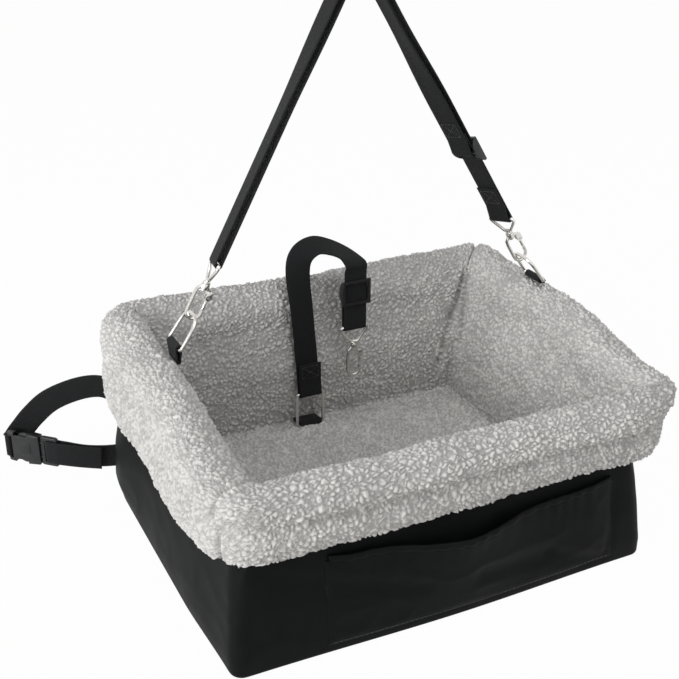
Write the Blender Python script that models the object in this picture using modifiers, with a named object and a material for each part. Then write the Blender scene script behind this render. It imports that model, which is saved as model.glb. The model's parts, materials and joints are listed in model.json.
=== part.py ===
"""Hanging booster seat for a small dog: a soft box on an adjustable strap, with tether, pocket and rear belt.

X runs right along the front, Y to the back, Z up. The origin is the middle of the base's underside.
"""

import math

import bmesh
import bpy
from mathutils import Matrix, Vector

# Clearances
CLEAR = 0.0003
RUN = 0.0006

# Box
BASE_WIDTH = 0.400
BASE_DEPTH = 0.332
WAIST_HEIGHT = 0.100
WAIST_TAPER = 0.0085
RIM_HEIGHT = 0.184
RIM_SPREAD_X = 0.005
RIM_SPREAD_Y = 0.009
RIM_RISE = 0.0045
SWAY_FRONT = 0.004
SWAY_BACK = 0.022
CORNER_RADIUS = 0.012
RIM_CORNER = 0.018
LEAST_CORNER = 0.0075
EDGE_RADIUS = 0.008
SHELL_TOP = RIM_HEIGHT - 0.024
SHELL_THICKNESS = 0.0012
BOARD_THICKNESS = 0.005
BASE_BOARD_THICKNESS = 0.004
PAD_THICKNESS = 0.018
FLEECE_THICKNESS = 0.008
ROLL_RADIUS = 0.019
CUFF_HEM = RIM_HEIGHT - 0.070
CUFF_GROOVE = RIM_HEIGHT - 0.034
SIDE_STEPS = 7
CORNER_STEPS = 4

# Front pocket
POCKET_LEFT = 0.078 - BASE_WIDTH / 2
POCKET_RIGHT = BASE_WIDTH / 2 - 0.038
POCKET_TOP = WAIST_HEIGHT - 0.017
POCKET_BOTTOM = 0.009
POCKET_BULGE = 0.016
POCKET_CLOTH = 0.0015
ELASTIC_RADIUS = 0.0025

# Webbing and metal wire
WEB_WIDTH = 0.025
WEB_THICKNESS = 0.0016
WIRE_RADIUS = 0.0018

# Rings on the rim
RING_LEFT_X = 0.054 - BASE_WIDTH / 2
RING_RIGHT_X = BASE_WIDTH / 2 + 0.008
RING_TOP_Z = RIM_HEIGHT + 0.0325
HANG_Y = 0.062
RING_HEIGHT = 0.032
RING_LEFT_LEAN = 35.0
RING_RIGHT_LEAN = 36.0
RING_CORNER = 0.011
RING_FLARE = 0.13
TAB_ROOT_LEFT = 0.018
TAB_ROOT_RIGHT = 0.005

# Snap hooks
HOOK_LENGTH = 0.056
HOOK_HALF_WIDTH = 0.007
COLLAR_BASE = 0.0295
COLLAR_LENGTH = 0.0055
COLLAR_RADIUS = 0.0038
GATE_PIVOT = 0.0232
NOSE_HEIGHT = 0.0102
GATE_RADIUS = 0.0015
GATE_TONGUE = 0.002
FORK_CHEEK = 0.0013
FORK_RADIUS = 0.0028
FORK_TOP = 0.0052
PIN_RADIUS = 0.0008
EYE_NECK = 0.0038
EYE_FLARE = 0.0052
HEAD_THICKNESS = 0.0011

# Hanging strap
APEX_X = 0.0185
APEX_Z = RIM_HEIGHT + 0.339
APEX_RADIUS = 0.014
SLIDER_HEIGHT_Z = RIM_HEIGHT + 0.150
SEWN_END = 0.038
TWIST_START = 0.140
TWIST_END = 0.240
RIGHT_TWIST = 18.0
LEFT_TWIST = -10.0

# Tri-glides
GLIDE_HALF_LENGTH = 0.0135
GLIDE_SIDE = 0.0026
GLIDE_BAR = 0.0032
GLIDE_PLATE = 0.0025
GLIDE_INSET = 0.0004

# Tether
TETHER_X = -0.0005
TETHER_Y = BASE_DEPTH / 2 - 0.036
TETHER_RING_Z = 0.0375
TETHER_RING_HEIGHT = 0.036
TETHER_RING_CORNER = 0.0023
TETHER_ARCH_Z = RIM_HEIGHT + 0.048
TETHER_HANG_X = 0.047
TETHER_EYE_Z = 0.1445
TETHER_SLIDER_Z = 0.184
TETHER_SEWN_END = 0.024

# Rear belt and buckle
BELT_UPPER_X = 0.060 - BASE_WIDTH / 2
BELT_UPPER_Z = 0.096
BELT_ANCHOR_X = BASE_WIDTH / 2 - 0.050
BELT_ANCHOR_Z = 0.092
BUCKLE_AZIMUTH = -43.8
BUCKLE_X = -BASE_WIDTH / 2 - 0.055
BUCKLE_Y = BASE_DEPTH / 2 + 0.031
BUCKLE_Z = 0.030
BUCKLE_HALF_HEIGHT = 0.0175
BUCKLE_THICKNESS = 0.009
BUCKLE_WALL = 0.0022
SOCKET_DEPTH = 0.0295
SOCKET_LENGTH = 0.0397
CLIP_LENGTH = 0.020
ARM_LENGTH = 0.0282
ARM_SHOULDER = 0.0148
LUG_OVERHANG = 0.0024
CAVITY_HALF = 0.0143
ARM_ROOT = 0.0080
ARM_SEAT = 0.0016
ARM_THICKNESS = 0.0040
CLIP_THICKNESS = 0.0046
WEB_BAR_X = -0.0385
# Routes off the box: distance past its left side, distance behind its back, height
BELT_UPPER_ROUTE = [
    (-0.0080, 0.0160, 0.0945),
    (0.0090, 0.0290, 0.0975),
    (0.0290, 0.0420, 0.0920),
    (0.0530, 0.0560, 0.0785),
    (0.0700, 0.0660, 0.0605),
]
BELT_TAIL_ROUTE = [
    (0.0480, 0.0230, 0.0290),
    (0.0330, 0.0158, 0.0270),
    (0.0160, 0.0082, 0.0252),
]
CLIP_TURN = 0.0103
BELT_BACK_ROUTE = [(0.05, 0.075), (-0.05, 0.052), (-0.140, 0.032)]
BELT_LOWER_ROUTE = [
    (-0.0220, 0.0045, 0.0270),
    (0.0030, 0.0095, 0.0250),
    (0.0280, 0.0180, 0.0265),
]

PARTS = bpy.data.collections.new("dog_booster_seat")
CUTTERS = bpy.data.collections.new("cutters")


# Scene and materials


def clear_scene():
    for old in list(bpy.data.objects):
        bpy.data.objects.remove(old, do_unlink=True)
    for collection in (PARTS, CUTTERS):
        bpy.context.scene.collection.children.link(collection)
    CUTTERS.hide_render = True


def material(name, colour, roughness, metallic=0.0):
    made = bpy.data.materials.get(name)
    if made:
        return made
    made = bpy.data.materials.new(name)
    made.use_nodes = True
    shader = made.node_tree.nodes["Principled BSDF"]
    shader.inputs["Base Color"].default_value = (*colour, 1.0)
    shader.inputs["Roughness"].default_value = roughness
    shader.inputs["Metallic"].default_value = metallic
    return made


def nylon_cloth():
    return material("black_nylon_cloth", (0.018, 0.019, 0.022), 0.75)


def fleece():
    return material("grey_fleece", (0.42, 0.41, 0.40), 0.95)


def board():
    return material("grey_board", (0.30, 0.29, 0.27), 0.8)


def foam():
    return material("white_foam", (0.75, 0.74, 0.70), 0.9)


def webbing():
    return material("dark_webbing", (0.035, 0.037, 0.042), 0.7)


def nickel():
    return material("nickel_plate", (0.66, 0.65, 0.62), 0.22, 1.0)


def black_plastic():
    return material("black_plastic", (0.02, 0.02, 0.022), 0.4)


# Object helpers


def add_object(name, mesh, made_of, place=None):
    """Adds a mesh in the parts' collection, placed by its matrix."""
    made = bpy.data.objects.new(name, mesh)
    PARTS.objects.link(made)
    made.data.materials.clear()
    made.data.materials.append(made_of)
    made.matrix_world = place or Matrix.Identity(4)
    return made


def mesh_of(bm, name):
    bmesh.ops.recalc_face_normals(bm, faces=bm.faces)
    mesh = bpy.data.meshes.new(name)
    bm.to_mesh(mesh)
    bm.free()
    return mesh


def shade(obj, degrees=40.0):
    obj.data.shade_smooth()
    obj.data.set_sharp_from_angle(angle=math.radians(degrees))
    return obj


def solidify(obj, thickness, offset=0.0):
    modifier = obj.modifiers.new("thickness", "SOLIDIFY")
    modifier.thickness = thickness
    modifier.offset = offset
    modifier.use_even_offset = True
    return obj


def as_cutter(obj):
    for collection in list(obj.users_collection):
        collection.objects.unlink(obj)
    CUTTERS.objects.link(obj)
    obj.hide_render = True
    obj.display_type = "WIRE"
    return obj


def boolean(obj, other, operation="DIFFERENCE"):
    modifier = obj.modifiers.new(other.name, "BOOLEAN")
    modifier.operation = operation
    modifier.object = as_cutter(other)
    return obj


def mesh_from_curve(curve_object):
    """Turns a curve object into a mesh object with welded caps, and removes the curve."""
    bpy.context.view_layer.update()
    graph = bpy.context.evaluated_depsgraph_get()
    mesh = bpy.data.meshes.new_from_object(curve_object.evaluated_get(graph))
    bm = bmesh.new()
    bm.from_mesh(mesh)
    bmesh.ops.remove_doubles(bm, verts=bm.verts, dist=0.000001)
    bmesh.ops.recalc_face_normals(bm, faces=bm.faces)
    bm.to_mesh(mesh)
    bm.free()
    name = curve_object.name
    made_of = curve_object.data.materials[0]
    place = curve_object.matrix_world.copy()
    bpy.data.objects.remove(curve_object, do_unlink=True)
    return add_object(name, mesh, made_of, place)


def wire(name, points, radius, made_of, closed=False, place=None, resolution=2):
    """A round wire along points, as a mesh."""
    curve = bpy.data.curves.new(name, "CURVE")
    curve.dimensions = "3D"
    spline = curve.splines.new("POLY")
    spline.points.add(len(points) - 1)
    for slot, point in zip(spline.points, points):
        slot.co = (*point, 1.0)
    spline.use_cyclic_u = closed
    curve.bevel_depth = radius
    curve.bevel_resolution = resolution
    curve.use_fill_caps = not closed
    made = bpy.data.objects.new(name, curve)
    PARTS.objects.link(made)
    curve.materials.append(made_of)
    made.matrix_world = place or Matrix.Identity(4)
    return shade(mesh_from_curve(made), 50.0)


def plate(name, outline, thickness, made_of, edge=0.0, place=None):
    """A flat outline in local XY, extruded evenly along local Z, with rounded edges."""
    curve = bpy.data.curves.new(name, "CURVE")
    curve.dimensions = "2D"
    curve.fill_mode = "BOTH"
    spline = curve.splines.new("POLY")
    spline.points.add(len(outline) - 1)
    for slot, (x, y) in zip(spline.points, outline):
        slot.co = (x, y, 0.0, 1.0)
    spline.use_cyclic_u = True
    curve.extrude = thickness / 2 - edge
    curve.bevel_depth = edge
    curve.bevel_resolution = 1
    curve.offset = -edge
    made = bpy.data.objects.new(name, curve)
    PARTS.objects.link(made)
    curve.materials.append(made_of)
    made.matrix_world = place or Matrix.Identity(4)
    return mesh_from_curve(made)


def box(name, low, high, made_of, place=None):
    """A block between two corners of its local frame."""
    bm = bmesh.new()
    bmesh.ops.create_cube(bm, size=1.0)
    low, high = Vector(low), Vector(high)
    size = high - low
    bmesh.ops.scale(bm, vec=size, verts=bm.verts)
    bmesh.ops.translate(bm, vec=(low + high) / 2, verts=bm.verts)
    return add_object(name, mesh_of(bm, name), made_of, place)


def cylinder(name, radius, low, high, made_of, place=None, axis="Z", sides=16):
    """A round bar between two heights of its local axis."""
    bm = bmesh.new()
    bmesh.ops.create_cone(
        bm, cap_ends=True, segments=sides, radius1=radius, radius2=radius, depth=high - low
    )
    bmesh.ops.translate(bm, vec=(0, 0, (low + high) / 2), verts=bm.verts)
    turn = {"X": Matrix.Rotation(math.pi / 2, 4, "Y"), "Y": Matrix.Rotation(-math.pi / 2, 4, "X")}
    if axis != "Z":
        bmesh.ops.transform(bm, matrix=turn[axis], verts=bm.verts)
    return shade(add_object(name, mesh_of(bm, name), made_of, place))


def skin(name, rows, made_of, closed_rows=True, floor=False):
    """A sheet through rows of points, the same number in each row."""
    bm = bmesh.new()
    lines = [[bm.verts.new(point) for point in row] for row in rows]
    count = len(lines[0])
    for low, high in zip(lines, lines[1:]):
        for i in range(count if closed_rows else count - 1):
            j = (i + 1) % count
            bm.faces.new((low[i], low[j], high[j], high[i]))
    if floor:
        bm.faces.new(list(reversed(lines[0])))
    return shade(add_object(name, mesh_of(bm, name), made_of), 60.0)


def ring_skin(name, section_loops, made_of):
    """A closed tube whose section is the stack of loops, each loop one line along the tube."""
    return skin(name, section_loops + section_loops[:1], made_of)


def direction(degrees):
    """Unit vector in XZ, turned from vertical toward +X."""
    angle = math.radians(degrees)
    return Vector((math.sin(angle), 0.0, math.cos(angle)))


def arc(centre, radius, start, end, steps):
    """Points (a, b) of an arc, angles in degrees."""
    angles = [math.radians(start + (end - start) * i / steps) for i in range(steps + 1)]
    return [(centre[0] + radius * math.cos(t), centre[1] + radius * math.sin(t)) for t in angles]


def smooth_path(points, steps):
    """A Catmull-Rom curve through the points."""
    points = [Vector(p) for p in points]
    ends = [2 * points[0] - points[1]] + points + [2 * points[-1] - points[-2]]
    made = []
    for p0, p1, p2, p3 in zip(ends, ends[1:], ends[2:], ends[3:]):
        for i in range(steps):
            t = i / steps
            made.append(
                0.5
                * (
                    2 * p1
                    + (p2 - p0) * t
                    + (2 * p0 - 5 * p1 + 4 * p2 - p3) * t * t
                    + (3 * p1 - p0 - 3 * p2 + p3) * t * t * t
                )
            )
    return made + [points[-1]]


def ribbon(name, path, across, made_of=None, width=WEB_WIDTH, thickness=WEB_THICKNESS):
    """Webbing along a path. across is one direction, or one for each point of the path."""
    sides = across if isinstance(across, list) else [Vector(across)] * len(path)
    rows = [
        [Vector(p) - side * width / 2, Vector(p) + side * width / 2]
        for p, side in zip(path, sides)
    ]
    made = skin(name, rows, made_of or webbing(), closed_rows=False)
    return solidify(made, thickness)


def pivot_at(name, point, parent=None):
    """An empty on a joint's axis."""
    made = bpy.data.objects.new(name, None)
    made.empty_display_size = 0.01
    PARTS.objects.link(made)
    made.location = point
    bpy.context.view_layer.update()
    if parent:
        hang(made, parent)
    return made


def hang(obj, parent):
    """Parents the object and keeps it where it is."""
    bpy.context.view_layer.update()
    obj.parent = parent
    obj.matrix_parent_inverse = parent.matrix_world.inverted()
    return obj


# Box geometry: every layer is the same rounded rectangle, moved outward by u


def blend(value, low, high):
    """Eases from 0 to 1 as value goes from low to high."""
    t = min(max((value - low) / (high - low), 0.0), 1.0)
    return t * t * (3.0 - 2.0 * t)


def half_sizes(z, u):
    """Half width and half depth of the wall's outer face at height z, moved outward by u."""
    if z <= WAIST_HEIGHT:
        offset, share = -WAIST_TAPER * z / WAIST_HEIGHT, 0.0
    else:
        share = (z - WAIST_HEIGHT) / (RIM_HEIGHT - WAIST_HEIGHT)
        offset = -WAIST_TAPER * (1.0 - share)
    half_x = BASE_WIDTH / 2 + offset + share * RIM_SPREAD_X + u
    half_y = BASE_DEPTH / 2 + offset + share * RIM_SPREAD_Y + u
    return half_x, half_y


def corner_radius(z, u):
    """Corner radius in plan: small at the base, larger at the rim."""
    share = z / RIM_HEIGHT
    return max(CORNER_RADIUS + (RIM_CORNER - CORNER_RADIUS) * share + u, LEAST_CORNER)


def leaning(x, y, z):
    """Adds the rim's sideways sway and its rise toward the back."""
    share = (z / RIM_HEIGHT) ** 2
    sway = SWAY_FRONT + (SWAY_BACK - SWAY_FRONT) * blend(y, -0.45 * BASE_DEPTH, 0.15 * BASE_DEPTH)
    rise = RIM_RISE * y / (BASE_DEPTH / 2)
    return Vector((x + share * sway, y, z + share * rise))


def side_points(side, z, u):
    """Points along one straight side, anticlockwise seen from above."""
    half_x, half_y = half_sizes(z, u)
    radius = corner_radius(z, u)
    run_x, run_y = half_x - radius, half_y - radius
    ends = {
        "front": ((-run_x, -half_y), (run_x, -half_y)),
        "right": ((half_x, -run_y), (half_x, run_y)),
        "back": ((run_x, half_y), (-run_x, half_y)),
        "left": ((-half_x, run_y), (-half_x, -run_y)),
    }
    (x0, y0), (x1, y1) = ends[side]
    shares = [i / SIDE_STEPS for i in range(SIDE_STEPS + 1)]
    return [leaning(x0 + (x1 - x0) * t, y0 + (y1 - y0) * t, z) for t in shares]


def corner_points(side, z, u):
    """Points of the corner that follows a side, without its two ends."""
    half_x, half_y = half_sizes(z, u)
    radius = corner_radius(z, u)
    x, y, start = {
        "front": (1, -1, -90.0),
        "right": (1, 1, 0.0),
        "back": (-1, 1, 90.0),
        "left": (-1, -1, 180.0),
    }[side]
    centre = (x * (half_x - radius), y * (half_y - radius))
    turn = arc(centre, radius, start, start + 90.0, CORNER_STEPS)[1:-1]
    return [leaning(a, b, z) for a, b in turn]


def loop_at(u, z):
    """The whole rounded rectangle at height z."""
    made = []
    for side in ("front", "right", "back", "left"):
        made += side_points(side, z, u) + corner_points(side, z, u)
    return made


# Box


def outer_shell():
    edge = arc((-EDGE_RADIUS, EDGE_RADIUS), EDGE_RADIUS, -90.0, 0.0, 3)
    heights = wall_heights() + [SHELL_TOP]
    rows = [loop_at(u, z) for u, z in edge] + [loop_at(0.0, z) for z in heights]
    made = skin("outer_shell", rows, nylon_cloth(), floor=True)
    return solidify(made, SHELL_THICKNESS, -1.0)


def wall_heights():
    """Heights that every layer of the wall shares, so that their faces stay parallel."""
    lean = WAIST_TAPER / WAIST_HEIGHT
    lowest = inner_stack()[4] + 1.5 * lean * BOARD_THICKNESS
    return [lowest, WAIST_HEIGHT / 2, WAIST_HEIGHT, (WAIST_HEIGHT + SHELL_TOP) / 2]


def inner_stack():
    """Heights of the layers on the floor: base board, pad and fleece floor."""
    board_low = SHELL_THICKNESS + CLEAR
    board_high = board_low + BASE_BOARD_THICKNESS
    pad_low = board_high + CLEAR
    pad_high = pad_low + PAD_THICKNESS
    fleece_low = pad_high + CLEAR
    return board_low, board_high, pad_low, pad_high, fleece_low


def slab(name, low, high, inset_low, inset_high, made_of):
    """A closed plate that follows the box's outline."""
    bm = bmesh.new()
    loops = [loop_at(-inset_low, low), loop_at(-inset_high, high)]
    lines = [[bm.verts.new(p) for p in loop] for loop in loops]
    bmesh.ops.bridge_loops(bm, edges=[e for line in lines for e in closed_line(bm, line)])
    bm.faces.new(lines[0])
    bm.faces.new(lines[1])
    return add_object(name, mesh_of(bm, name), made_of)


def closed_line(bm, verts):
    return [bm.edges.new((a, b)) for a, b in zip(verts, verts[1:] + verts[:1])]


def base_board():
    low, high = inner_stack()[:2]
    inset = SHELL_THICKNESS + CLEAR + EDGE_RADIUS * 0.8
    return slab("base_board", low, high, inset, inset, board())


def base_pad():
    low, high = inner_stack()[2:4]
    inset = SHELL_THICKNESS + 2 * CLEAR
    return slab("base_pad", low, high, inset + EDGE_RADIUS * 0.15, inset, foam())


def wall_boards():
    heights = wall_heights() + [SHELL_TOP - 0.003]
    u = -SHELL_THICKNESS - 2 * CLEAR
    for side in ("front", "right", "back", "left"):
        rows = [side_points(side, z, u) for z in heights]
        made = skin("wall_board_" + side, rows, board(), closed_rows=False)
        solidify(made, BOARD_THICKNESS, -1.0 if faces_out(made, side) else 1.0)


def faces_out(obj, side):
    """Whether the sheet's normals point away from the box."""
    outward = {"front": (0, -1, 0), "right": (1, 0, 0), "back": (0, 1, 0), "left": (-1, 0, 0)}
    return obj.data.polygons[0].normal.dot(Vector(outward[side])) > 0


def fleece_profile():
    """(u, z) of the fleece's middle: floor edge, wall, roll over the rim and skirt."""
    half = FLEECE_THICKNESS / 2
    wall = -SHELL_THICKNESS - BOARD_THICKNESS - 4 * CLEAR - half
    floor = inner_stack()[4] + half
    middle = ROLL_RADIUS - half
    centre_z = RIM_HEIGHT - ROLL_RADIUS
    rise = [(wall, z) for z in [floor] + wall_heights()[1:]] + [(wall, centre_z - 0.020)]
    roll = arc((0.0, centre_z), middle, 180.0, 0.0, 8)
    skirt = [
        (middle - 0.0022, CUFF_GROOVE),
        (middle - 0.0005, CUFF_GROOVE - 0.015),
        (middle - 0.0010, CUFF_GROOVE - 0.028),
        (middle - 0.0015, CUFF_HEM),
    ]
    return rise + roll + skirt


def fleece_liner():
    rows = [loop_at(u, z) for u, z in fleece_profile()]
    made = skin("fleece_liner", rows, fleece(), floor=True)
    return solidify(made, FLEECE_THICKNESS)


def rim_foam():
    """Foam ring inside the roll, over the shell's edge and down its outside."""
    centre_z = RIM_HEIGHT - ROLL_RADIUS
    radius = ROLL_RADIUS - FLEECE_THICKNESS - 4 * CLEAR
    foot = SHELL_TOP + 2 * CLEAR
    side = math.degrees(math.asin((centre_z - foot) / radius))
    top = arc((0.0, centre_z), radius * 0.98, 180.0 + side, -10.0, 8)
    inner_face = ROLL_RADIUS - FLEECE_THICKNESS
    skirt = [
        (inner_face - 0.0034, CUFF_GROOVE),
        (inner_face - 0.0012, CUFF_GROOVE - 0.014),
        (inner_face - 0.0018, CUFF_HEM + 0.010),
        (2 * CLEAR, CUFF_HEM + 0.010),
        (2 * CLEAR, foot),
    ]
    return ring_skin("rim_foam", [loop_at(u, z) for u, z in top + skirt], foam())


# Front pocket


def pocket_face(x_share, z_share):
    """A point of the pocket's panel: flat at its sewn edges, standing off at the open top."""
    x = POCKET_LEFT + (POCKET_RIGHT - POCKET_LEFT) * x_share
    z = POCKET_BOTTOM + (POCKET_TOP - POCKET_BOTTOM) * z_share
    z += 0.004 * (1.0 - math.sin(math.pi * x_share)) * z_share
    swell = math.sin(math.pi * x_share) ** 0.6 * z_share ** 0.8
    out = CLEAR + POCKET_CLOTH / 2 + CLEAR + POCKET_BULGE * swell
    return leaning(x, -half_sizes(z, out)[1], z)


def front_pocket():
    columns, lines = 14, 6
    rows = [
        [pocket_face(i / columns, j / lines) for i in range(columns + 1)]
        for j in range(lines + 1)
    ]
    made = skin("front_pocket", rows, nylon_cloth(), closed_rows=False)
    return solidify(made, POCKET_CLOTH)


def pocket_elastic():
    """Gathered elastic edge along the pocket's mouth."""
    above = Vector((0, 0, ELASTIC_RADIUS + 2 * CLEAR))
    shares = [0.02 + 0.96 * i / 18 for i in range(19)]
    points = [pocket_face(share, 1.0) + above for share in shares]
    return wire("pocket_elastic", points, ELASTIC_RADIUS, nylon_cloth())


# Frames and shared dimensions of the hanging parts

BAR_WRAP = WIRE_RADIUS + CLEAR + WEB_THICKNESS / 2
LAYER_STEP = WEB_THICKNESS + CLEAR
EYE_HALF = WEB_WIDTH / 2 + WIRE_RADIUS + CLEAR + RUN / 2
LINK_STEP = 2 * WIRE_RADIUS + CLEAR


def frame(origin, along, across):
    """Local Z runs along, local Y runs across."""
    z_axis = Vector(along).normalized()
    x_axis = Vector(across).cross(z_axis).normalized()
    y_axis = z_axis.cross(x_axis)
    made = Matrix((x_axis, y_axis, z_axis)).transposed().to_4x4()
    made.translation = origin
    return made


class Branch:
    """One straight run of strap above a hook's eye, with its outward side and its twist."""

    def __init__(self, eye, along, outward, across, twist=0.0):
        self.eye = Vector(eye)
        self.along = Vector(along).normalized()
        self.outward = Vector(outward)
        self.across = Vector(across)
        self.twist = twist

    def turned(self, vector, s):
        ease = 1.0 - blend(s, TWIST_START, TWIST_END)
        return Matrix.Rotation(math.radians(self.twist) * ease, 3, self.along) @ vector

    def point(self, s, offset):
        return self.eye + self.along * s + self.turned(self.outward, s) * offset

    def side(self, s):
        return self.turned(self.across, s)

    def run(self, start, end, offset, steps):
        """Points and their across directions from one distance above the eye to another."""
        places = [start + (end - start) * i / steps for i in range(steps + 1)]
        return [(self.point(s, offset), self.side(s)) for s in places]

    def wrap(self, s, middle, sign, way=1, steps=8):
        """Half turn round a bar at distance s: below it, or above it where way is -1."""
        made = []
        for angle in (math.pi * i / steps for i in range(steps + 1)):
            offset = middle + sign * BAR_WRAP * math.cos(angle)
            round_bar = self.along * way * BAR_WRAP * math.sin(angle)
            made.append((self.point(s, offset) - round_bar, self.side(s)))
        return made


def ribbon_through(name, stations):
    points, sides = zip(*stations)
    return ribbon(name, list(points), list(sides))


def ring_top(side):
    return Vector((RING_LEFT_X if side == "left" else RING_RIGHT_X, HANG_Y, RING_TOP_Z))


def ring_bar(side):
    """Centre of the ring's straight bar, below its top on the ring's lean."""
    lean = RING_LEFT_LEAN if side == "left" else -RING_RIGHT_LEAN
    return ring_top(side) - direction(lean) * RING_HEIGHT


def apex():
    return Vector((APEX_X, HANG_Y, APEX_Z))


def hook_frame(side):
    """Frame at the bottom of a hanging hook's loop, local Z along the strap."""
    along = (apex() - ring_top(side)).normalized()
    return frame(ring_top(side) - along * LINK_STEP, along, (0, 1, 0))


def strap_twist(side):
    return RIGHT_TWIST if side == "right" else LEFT_TWIST


def strap_branch(side):
    place = hook_frame(side)
    along = place.to_3x3() @ Vector((0, 0, 1))
    outward = place.to_3x3() @ Vector((1 if side == "right" else -1, 0, 0))
    eye = place @ Vector((0, 0, HOOK_LENGTH))
    return Branch(eye, along, outward, (0, 1, 0), strap_twist(side))


def tether_branch():
    eye = (TETHER_HANG_X, TETHER_Y - 0.008, TETHER_EYE_Z)
    return Branch(eye, (0, 0, 1), (0, -1, 0), (1, 0, 0))


# Rings and their webbing tabs


def d_ring(name, height, corner, flare, place):
    """A closed wire in local YZ: a straight bar, sides that flare toward it, round upper corners."""
    small = WIRE_RADIUS * 1.5
    low = arc((EYE_HALF - small, small), small, -90.0, 0.0, 3)
    side = [(EYE_HALF, small + (height - corner - small) * share) for share in (0.25, 0.5, 0.75)]
    high = arc((EYE_HALF - corner, height - corner), corner, 0.0, 90.0, 5)
    right = [(y * (1.0 + flare * (1.0 - z / height)), z) for y, z in low + side + high]
    left = [(-y, z) for y, z in reversed(right)]
    points = [(0.0, y, z) for y, z in right + left]
    return wire(name, points, WIRE_RADIUS, nickel(), closed=True, place=place)


def rim_ring(side):
    lean = RING_LEFT_LEAN if side == "left" else -RING_RIGHT_LEAN
    place = frame(ring_bar(side), direction(lean), (0, 1, 0))
    return d_ring("ring_" + side, RING_HEIGHT, RING_CORNER, RING_FLARE, place)


def roll_surface(side, inward):
    """A point of the rim's roll at the ring's place, a distance inward from its crest line."""
    half_x = half_sizes(RIM_HEIGHT, 0.0)[0]
    sign = -1 if side == "left" else 1
    crest = leaning(sign * half_x, HANG_Y, RIM_HEIGHT)
    drop = ROLL_RADIUS - math.sqrt(ROLL_RADIUS**2 - inward**2)
    return crest + Vector((-sign * inward, 0.0, -drop))


def folded_tab(name, bar, root, across):
    """Short webbing folded round a bar, its two layers meeting at the seam."""
    back = (root - bar).normalized()
    side = Vector(across).cross(back)
    turn = []
    for angle in (math.pi * i / 8 for i in range(9)):
        turn.append(bar + (side * math.cos(angle) - back * math.sin(angle)) * BAR_WRAP)
    ends = [root + side * LAYER_STEP / 2, root - side * LAYER_STEP / 2]
    return ribbon(name, ends[:1] + turn + ends[1:], across)


def rim_tab(side):
    """Webbing tab sewn into the rim's seam, round the ring's bar."""
    inward = TAB_ROOT_LEFT if side == "left" else -TAB_ROOT_RIGHT
    lift = LAYER_STEP + 3 * CLEAR
    root = roll_surface(side, inward) + Vector((0, 0, lift))
    return folded_tab("tab_" + side, ring_bar(side), root, (0, 1, 0))


# Snap hooks


def upright(place):
    """Turns a plate's XY outline into the local XZ plane."""
    return place @ Matrix.Rotation(math.pi / 2, 4, "X")


def hook_arm_points():
    w = HOOK_HALF_WIDTH
    top = COLLAR_BASE + COLLAR_LENGTH / 2
    left = [(-COLLAR_RADIUS * 0.7, top), (-w * 0.92, COLLAR_BASE - 0.001), (-w, COLLAR_BASE - 0.006)]
    return left + arc((0.0, w), w, 180.0, 360.0, 8) + [(w, NOSE_HEIGHT)]


def joined(obj, other):
    return boolean(obj, other, "UNION")


def hook_body(name, place):
    """Fixed arm, swivel collar and the fork that holds the gate."""
    w = HOOK_HALF_WIDTH
    half_fork = GATE_TONGUE / 2 + CLEAR + FORK_CHEEK
    points = [(x, 0.0, z) for x, z in hook_arm_points()]
    arm = wire(name, points, WIRE_RADIUS, nickel(), place=place)
    collar_top = COLLAR_BASE + COLLAR_LENGTH
    joined(arm, cylinder(name + "_collar", COLLAR_RADIUS, COLLAR_BASE, collar_top, nickel(), place))
    shoulder = [
        (COLLAR_RADIUS * 0.7, 0.0, COLLAR_BASE + COLLAR_LENGTH / 2),
        (w * 0.85, 0.0, COLLAR_BASE - 0.0006),
        (w, 0.0, COLLAR_BASE - 0.0035),
    ]
    joined(arm, wire(name + "_shoulder", shoulder, WIRE_RADIUS, nickel(), place=place))
    outline = arc((w, GATE_PIVOT), FORK_RADIUS, 180.0, 360.0, 10)
    outline += [(w + FORK_RADIUS, GATE_PIVOT + FORK_TOP), (w - FORK_RADIUS, GATE_PIVOT + FORK_TOP)]
    joined(arm, plate(name + "_fork", outline, 2 * half_fork, nickel(), place=upright(place)))
    slot = GATE_TONGUE / 2 + CLEAR
    low = (w - 2 * FORK_RADIUS, -slot, GATE_PIVOT - 2 * FORK_RADIUS)
    high = (w + 2 * FORK_RADIUS, slot, GATE_PIVOT + FORK_RADIUS)
    boolean(arm, box(name + "_slot", low, high, nickel(), place))
    bore = WIRE_RADIUS + CLEAR
    low, high = COLLAR_BASE - 0.004, collar_top + 0.004
    boolean(arm, cylinder(name + "_bore", bore, low, high, nickel(), place))
    pivot = place @ Matrix.Translation((w, 0.0, GATE_PIVOT))
    hole = PIN_RADIUS + CLEAR
    through = 2 * half_fork
    boolean(arm, cylinder(name + "_pin_hole", hole, -through, through, nickel(), pivot, "Y", 12))
    return arm


def hook_gate(name, place):
    """Sprung gate: a round finger with a flat tongue that turns on the pin."""
    pivot = place @ Matrix.Translation((HOOK_HALF_WIDTH, 0.0, GATE_PIVOT))
    tip = NOSE_HEIGHT + CLEAR - GATE_PIVOT
    finger_top = -FORK_RADIUS - GATE_RADIUS * 0.2
    gate = cylinder(name, GATE_RADIUS, tip, finger_top, nickel(), pivot, sides=14)
    reach = FORK_RADIUS - 0.0006
    outline = arc((0.0, 0.0), reach * 0.9, 0.0, 180.0, 8)
    outline += [(-GATE_RADIUS * 0.8, finger_top - 0.001), (GATE_RADIUS * 0.8, finger_top - 0.001)]
    joined(gate, plate(name + "_tongue", outline, GATE_TONGUE, nickel(), place=upright(pivot)))
    hole = PIN_RADIUS + CLEAR
    boolean(gate, cylinder(name + "_hole", hole, -GATE_TONGUE, GATE_TONGUE, nickel(), pivot, "Y", 12))
    return gate


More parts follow.
